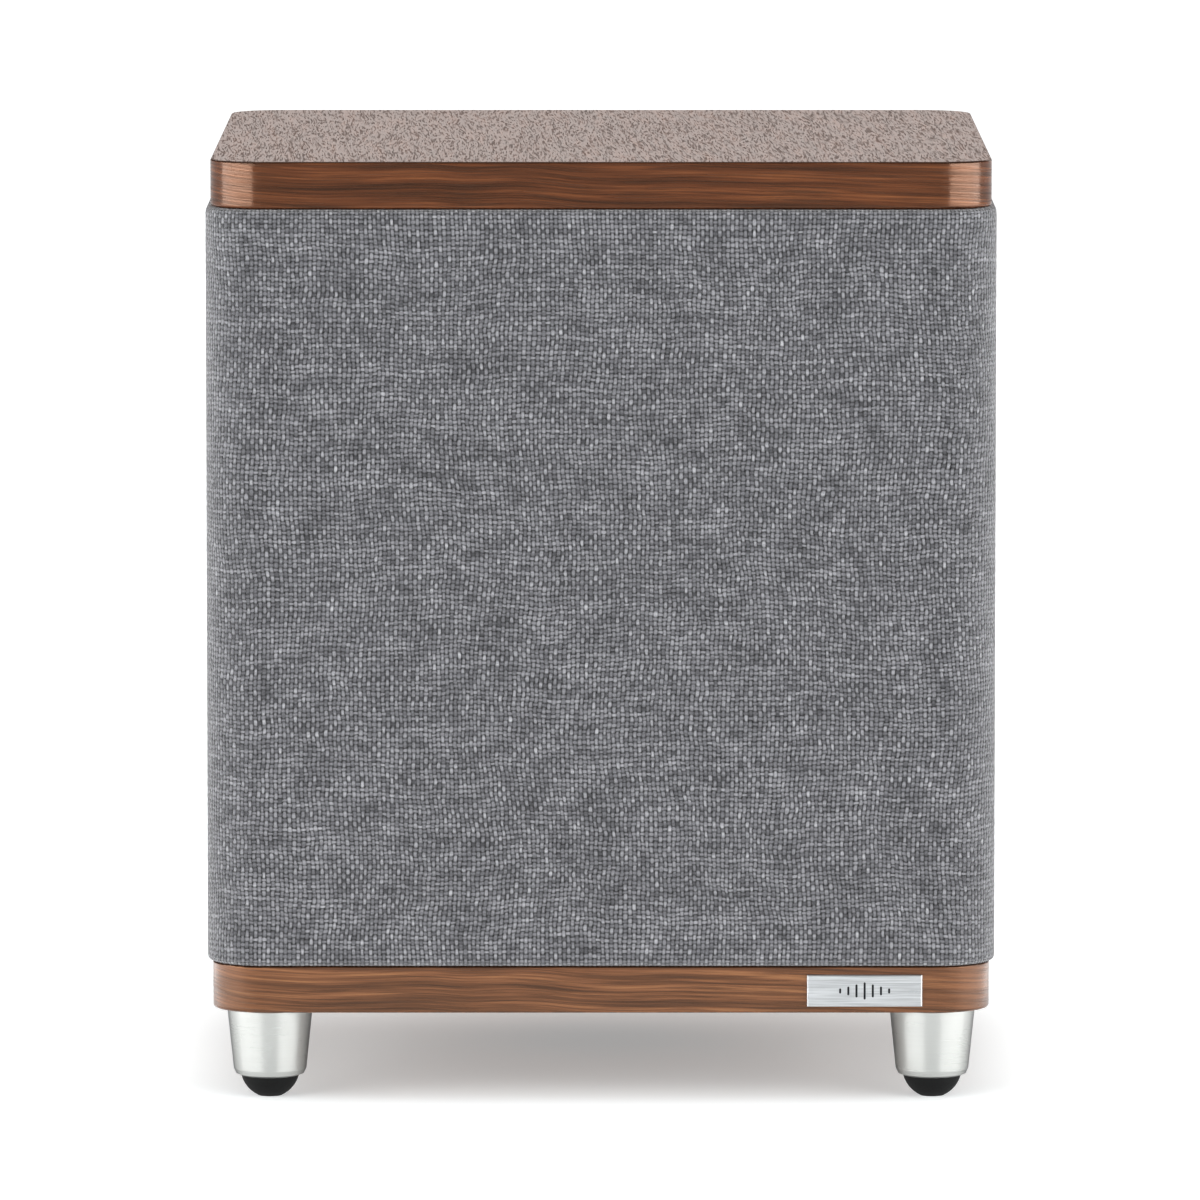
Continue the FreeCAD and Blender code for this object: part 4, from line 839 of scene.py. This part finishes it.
def floor_material():
    """White paper with a glow of its own, which is clear where it's seen from below."""
    paper = Finish("floor_paper", WHITE, 0.9, Specular_IOR_Level=0.0, Emission_Color=WHITE)
    x, y, _ = paper.millimetres()
    off_middle = paper.math("ABSOLUTE", x)

    # The soft shadow under the object.
    aside = paper.span(off_middle, 110.0, 190.0, 1.0, 0.0, smooth=True)
    ahead = paper.span(y, -215.0, -85.0, smooth=True)
    behind = paper.span(y, 20.0, 260.0, 1.0, 0.0, smooth=True)
    shadow = paper.times(aside, paper.times(ahead, behind), 0.5)
    glow = paper.minus(paper.span(y, 800.0, 3000.0, 0.78, 1.0), shadow)

    # Brighter strips beside the object, which the corners of the base board mirror.
    strips = paper.times(
        paper.span(off_middle, 300.0, 360.0),
        paper.span(off_middle, 650.0, 750.0, 1.0, 0.0),
        paper.span(paper.math("ABSOLUTE", y), 350.0, 450.0, 1.0, 0.0),
    )
    glow = paper.plus(glow, paper.times(strips, 1.4))

    # The floor behind is dimmer in glossy reflections, so that the far edges of the boards don't turn grey.
    glossy = paper.node("LightPath").outputs["Is Glossy Ray"]
    mirrored = paper.times(glossy, paper.span(y, 600.0, 1200.0, 0.0, 0.6))
    glow = paper.times(glow, paper.minus(1.0, mirrored))

    # The front of the boards mirrors a darker stretch before the object.
    near, far = paper.span(y, -1200.0, -450.0, 0.2, 1.0), paper.span(y, -9000.0, -5000.0, 1.0, 0.2)
    paper.shade("Emission Strength", paper.times(glow, paper.math("MAXIMUM", near, far)))
    dim = paper.mix(paper.span(y, -2600.0, -1200.0), (0.6, 0.62, 0.63, 1), (0.76, 0.8, 0.81, 1))
    paper.shade("Base Color", dim)

    clear = paper.node("BsdfTransparent").outputs[0]
    from_below = paper.node("NewGeometry").outputs["Backfacing"]
    either = paper.node("MixShader", from_below, paper.surface.outputs[0], clear)
    paper.feed(paper.tree.nodes["Material Output"].inputs[0], either.outputs[0])
    return paper.material


def paper_floor():
    """A wide level floor under the feet."""
    reach = 60.0
    mesh = bpy.data.meshes.new("floor")
    corners = [(-reach, -reach, 0), (reach, -reach, 0), (reach, reach, 0), (-reach, reach, 0)]
    mesh.from_pydata(corners, [], [(0, 1, 2, 3)])
    mesh.materials.append(floor_material())
    floor = bpy.data.objects.new("floor", mesh)
    bpy.context.scene.collection.objects.link(floor)


def panel(name, azimuth, elevation, width, height, radiance, colour=WHITE[:3]):
    """A soft lamp 4 m from the object and facing it, with that brightness of its surface. Its angles are in
    degrees, round from the front and up, and its width and height in metres."""
    distance, target = 4.0, Vector((0, 0, 0.18))
    lamp = bpy.data.lights.new(name, "AREA")
    lamp.color = colour
    lamp.shape, lamp.size, lamp.size_y = "RECTANGLE", width, height
    lamp.energy = math.pi * width * height * radiance
    holder = bpy.data.objects.new(name, lamp)
    a, e = math.radians(azimuth), math.radians(elevation)
    away = Vector((math.sin(a) * math.cos(e), -math.cos(a) * math.cos(e), math.sin(e)))
    holder.location = target + away * distance
    holder.rotation_euler = (-away).to_track_quat("-Z", "Y").to_euler()
    holder.visible_camera = False
    bpy.context.scene.collection.objects.link(holder)
    return holder


def lamps():
    """A broad lamp above, a warm one behind, and at each side a soft panel and a low strip for gloss."""
    panel("lamp_above", 0, 88, 4.0, 4.0, 0.7)
    for side, azimuth in (("left", -60), ("right", 60)):
        panel("panel_" + side, azimuth, 12, 6.0, 2.4, 4.3).visible_glossy = False
        panel("gleam_" + side, azimuth, 3, 6.0, 0.6, 10.0).visible_diffuse = False
    panel("panel_behind", 180, 22, 6.0, 2.6, 0.76, (1.0, 0.87, 0.82))


def camera():
    """A long lens from the front, a little above the object."""
    data = bpy.data.cameras.new("camera")
    data.sensor_width, data.lens = 36.0, 354.9
    data.clip_start, data.clip_end = 0.1, 200.0
    eye = bpy.data.objects.new("camera", data)
    bpy.context.scene.collection.objects.link(eye)
    eye.location = (-0.0004, -4.60, 0.6725)
    aim = Vector((-0.0004, -0.15, 0.1926)) - eye.location
    eye.rotation_euler = aim.to_track_quat("-Z", "Y").to_euler()
    bpy.context.scene.camera = eye


dress_cad_nodes()
stretched_cloth()
badge_mark()
plate_print()
half_roll()
corrugated_spider()
tinsel_lead("tinsel_lead_left", -1)
tinsel_lead("tinsel_lead_right", 1)
wadding_pad("wadding_left", -1, lift=40.0)
wadding_pad("wadding_right", 1, lift=0.0)
pale_room()
paper_floor()
lamps()
camera()
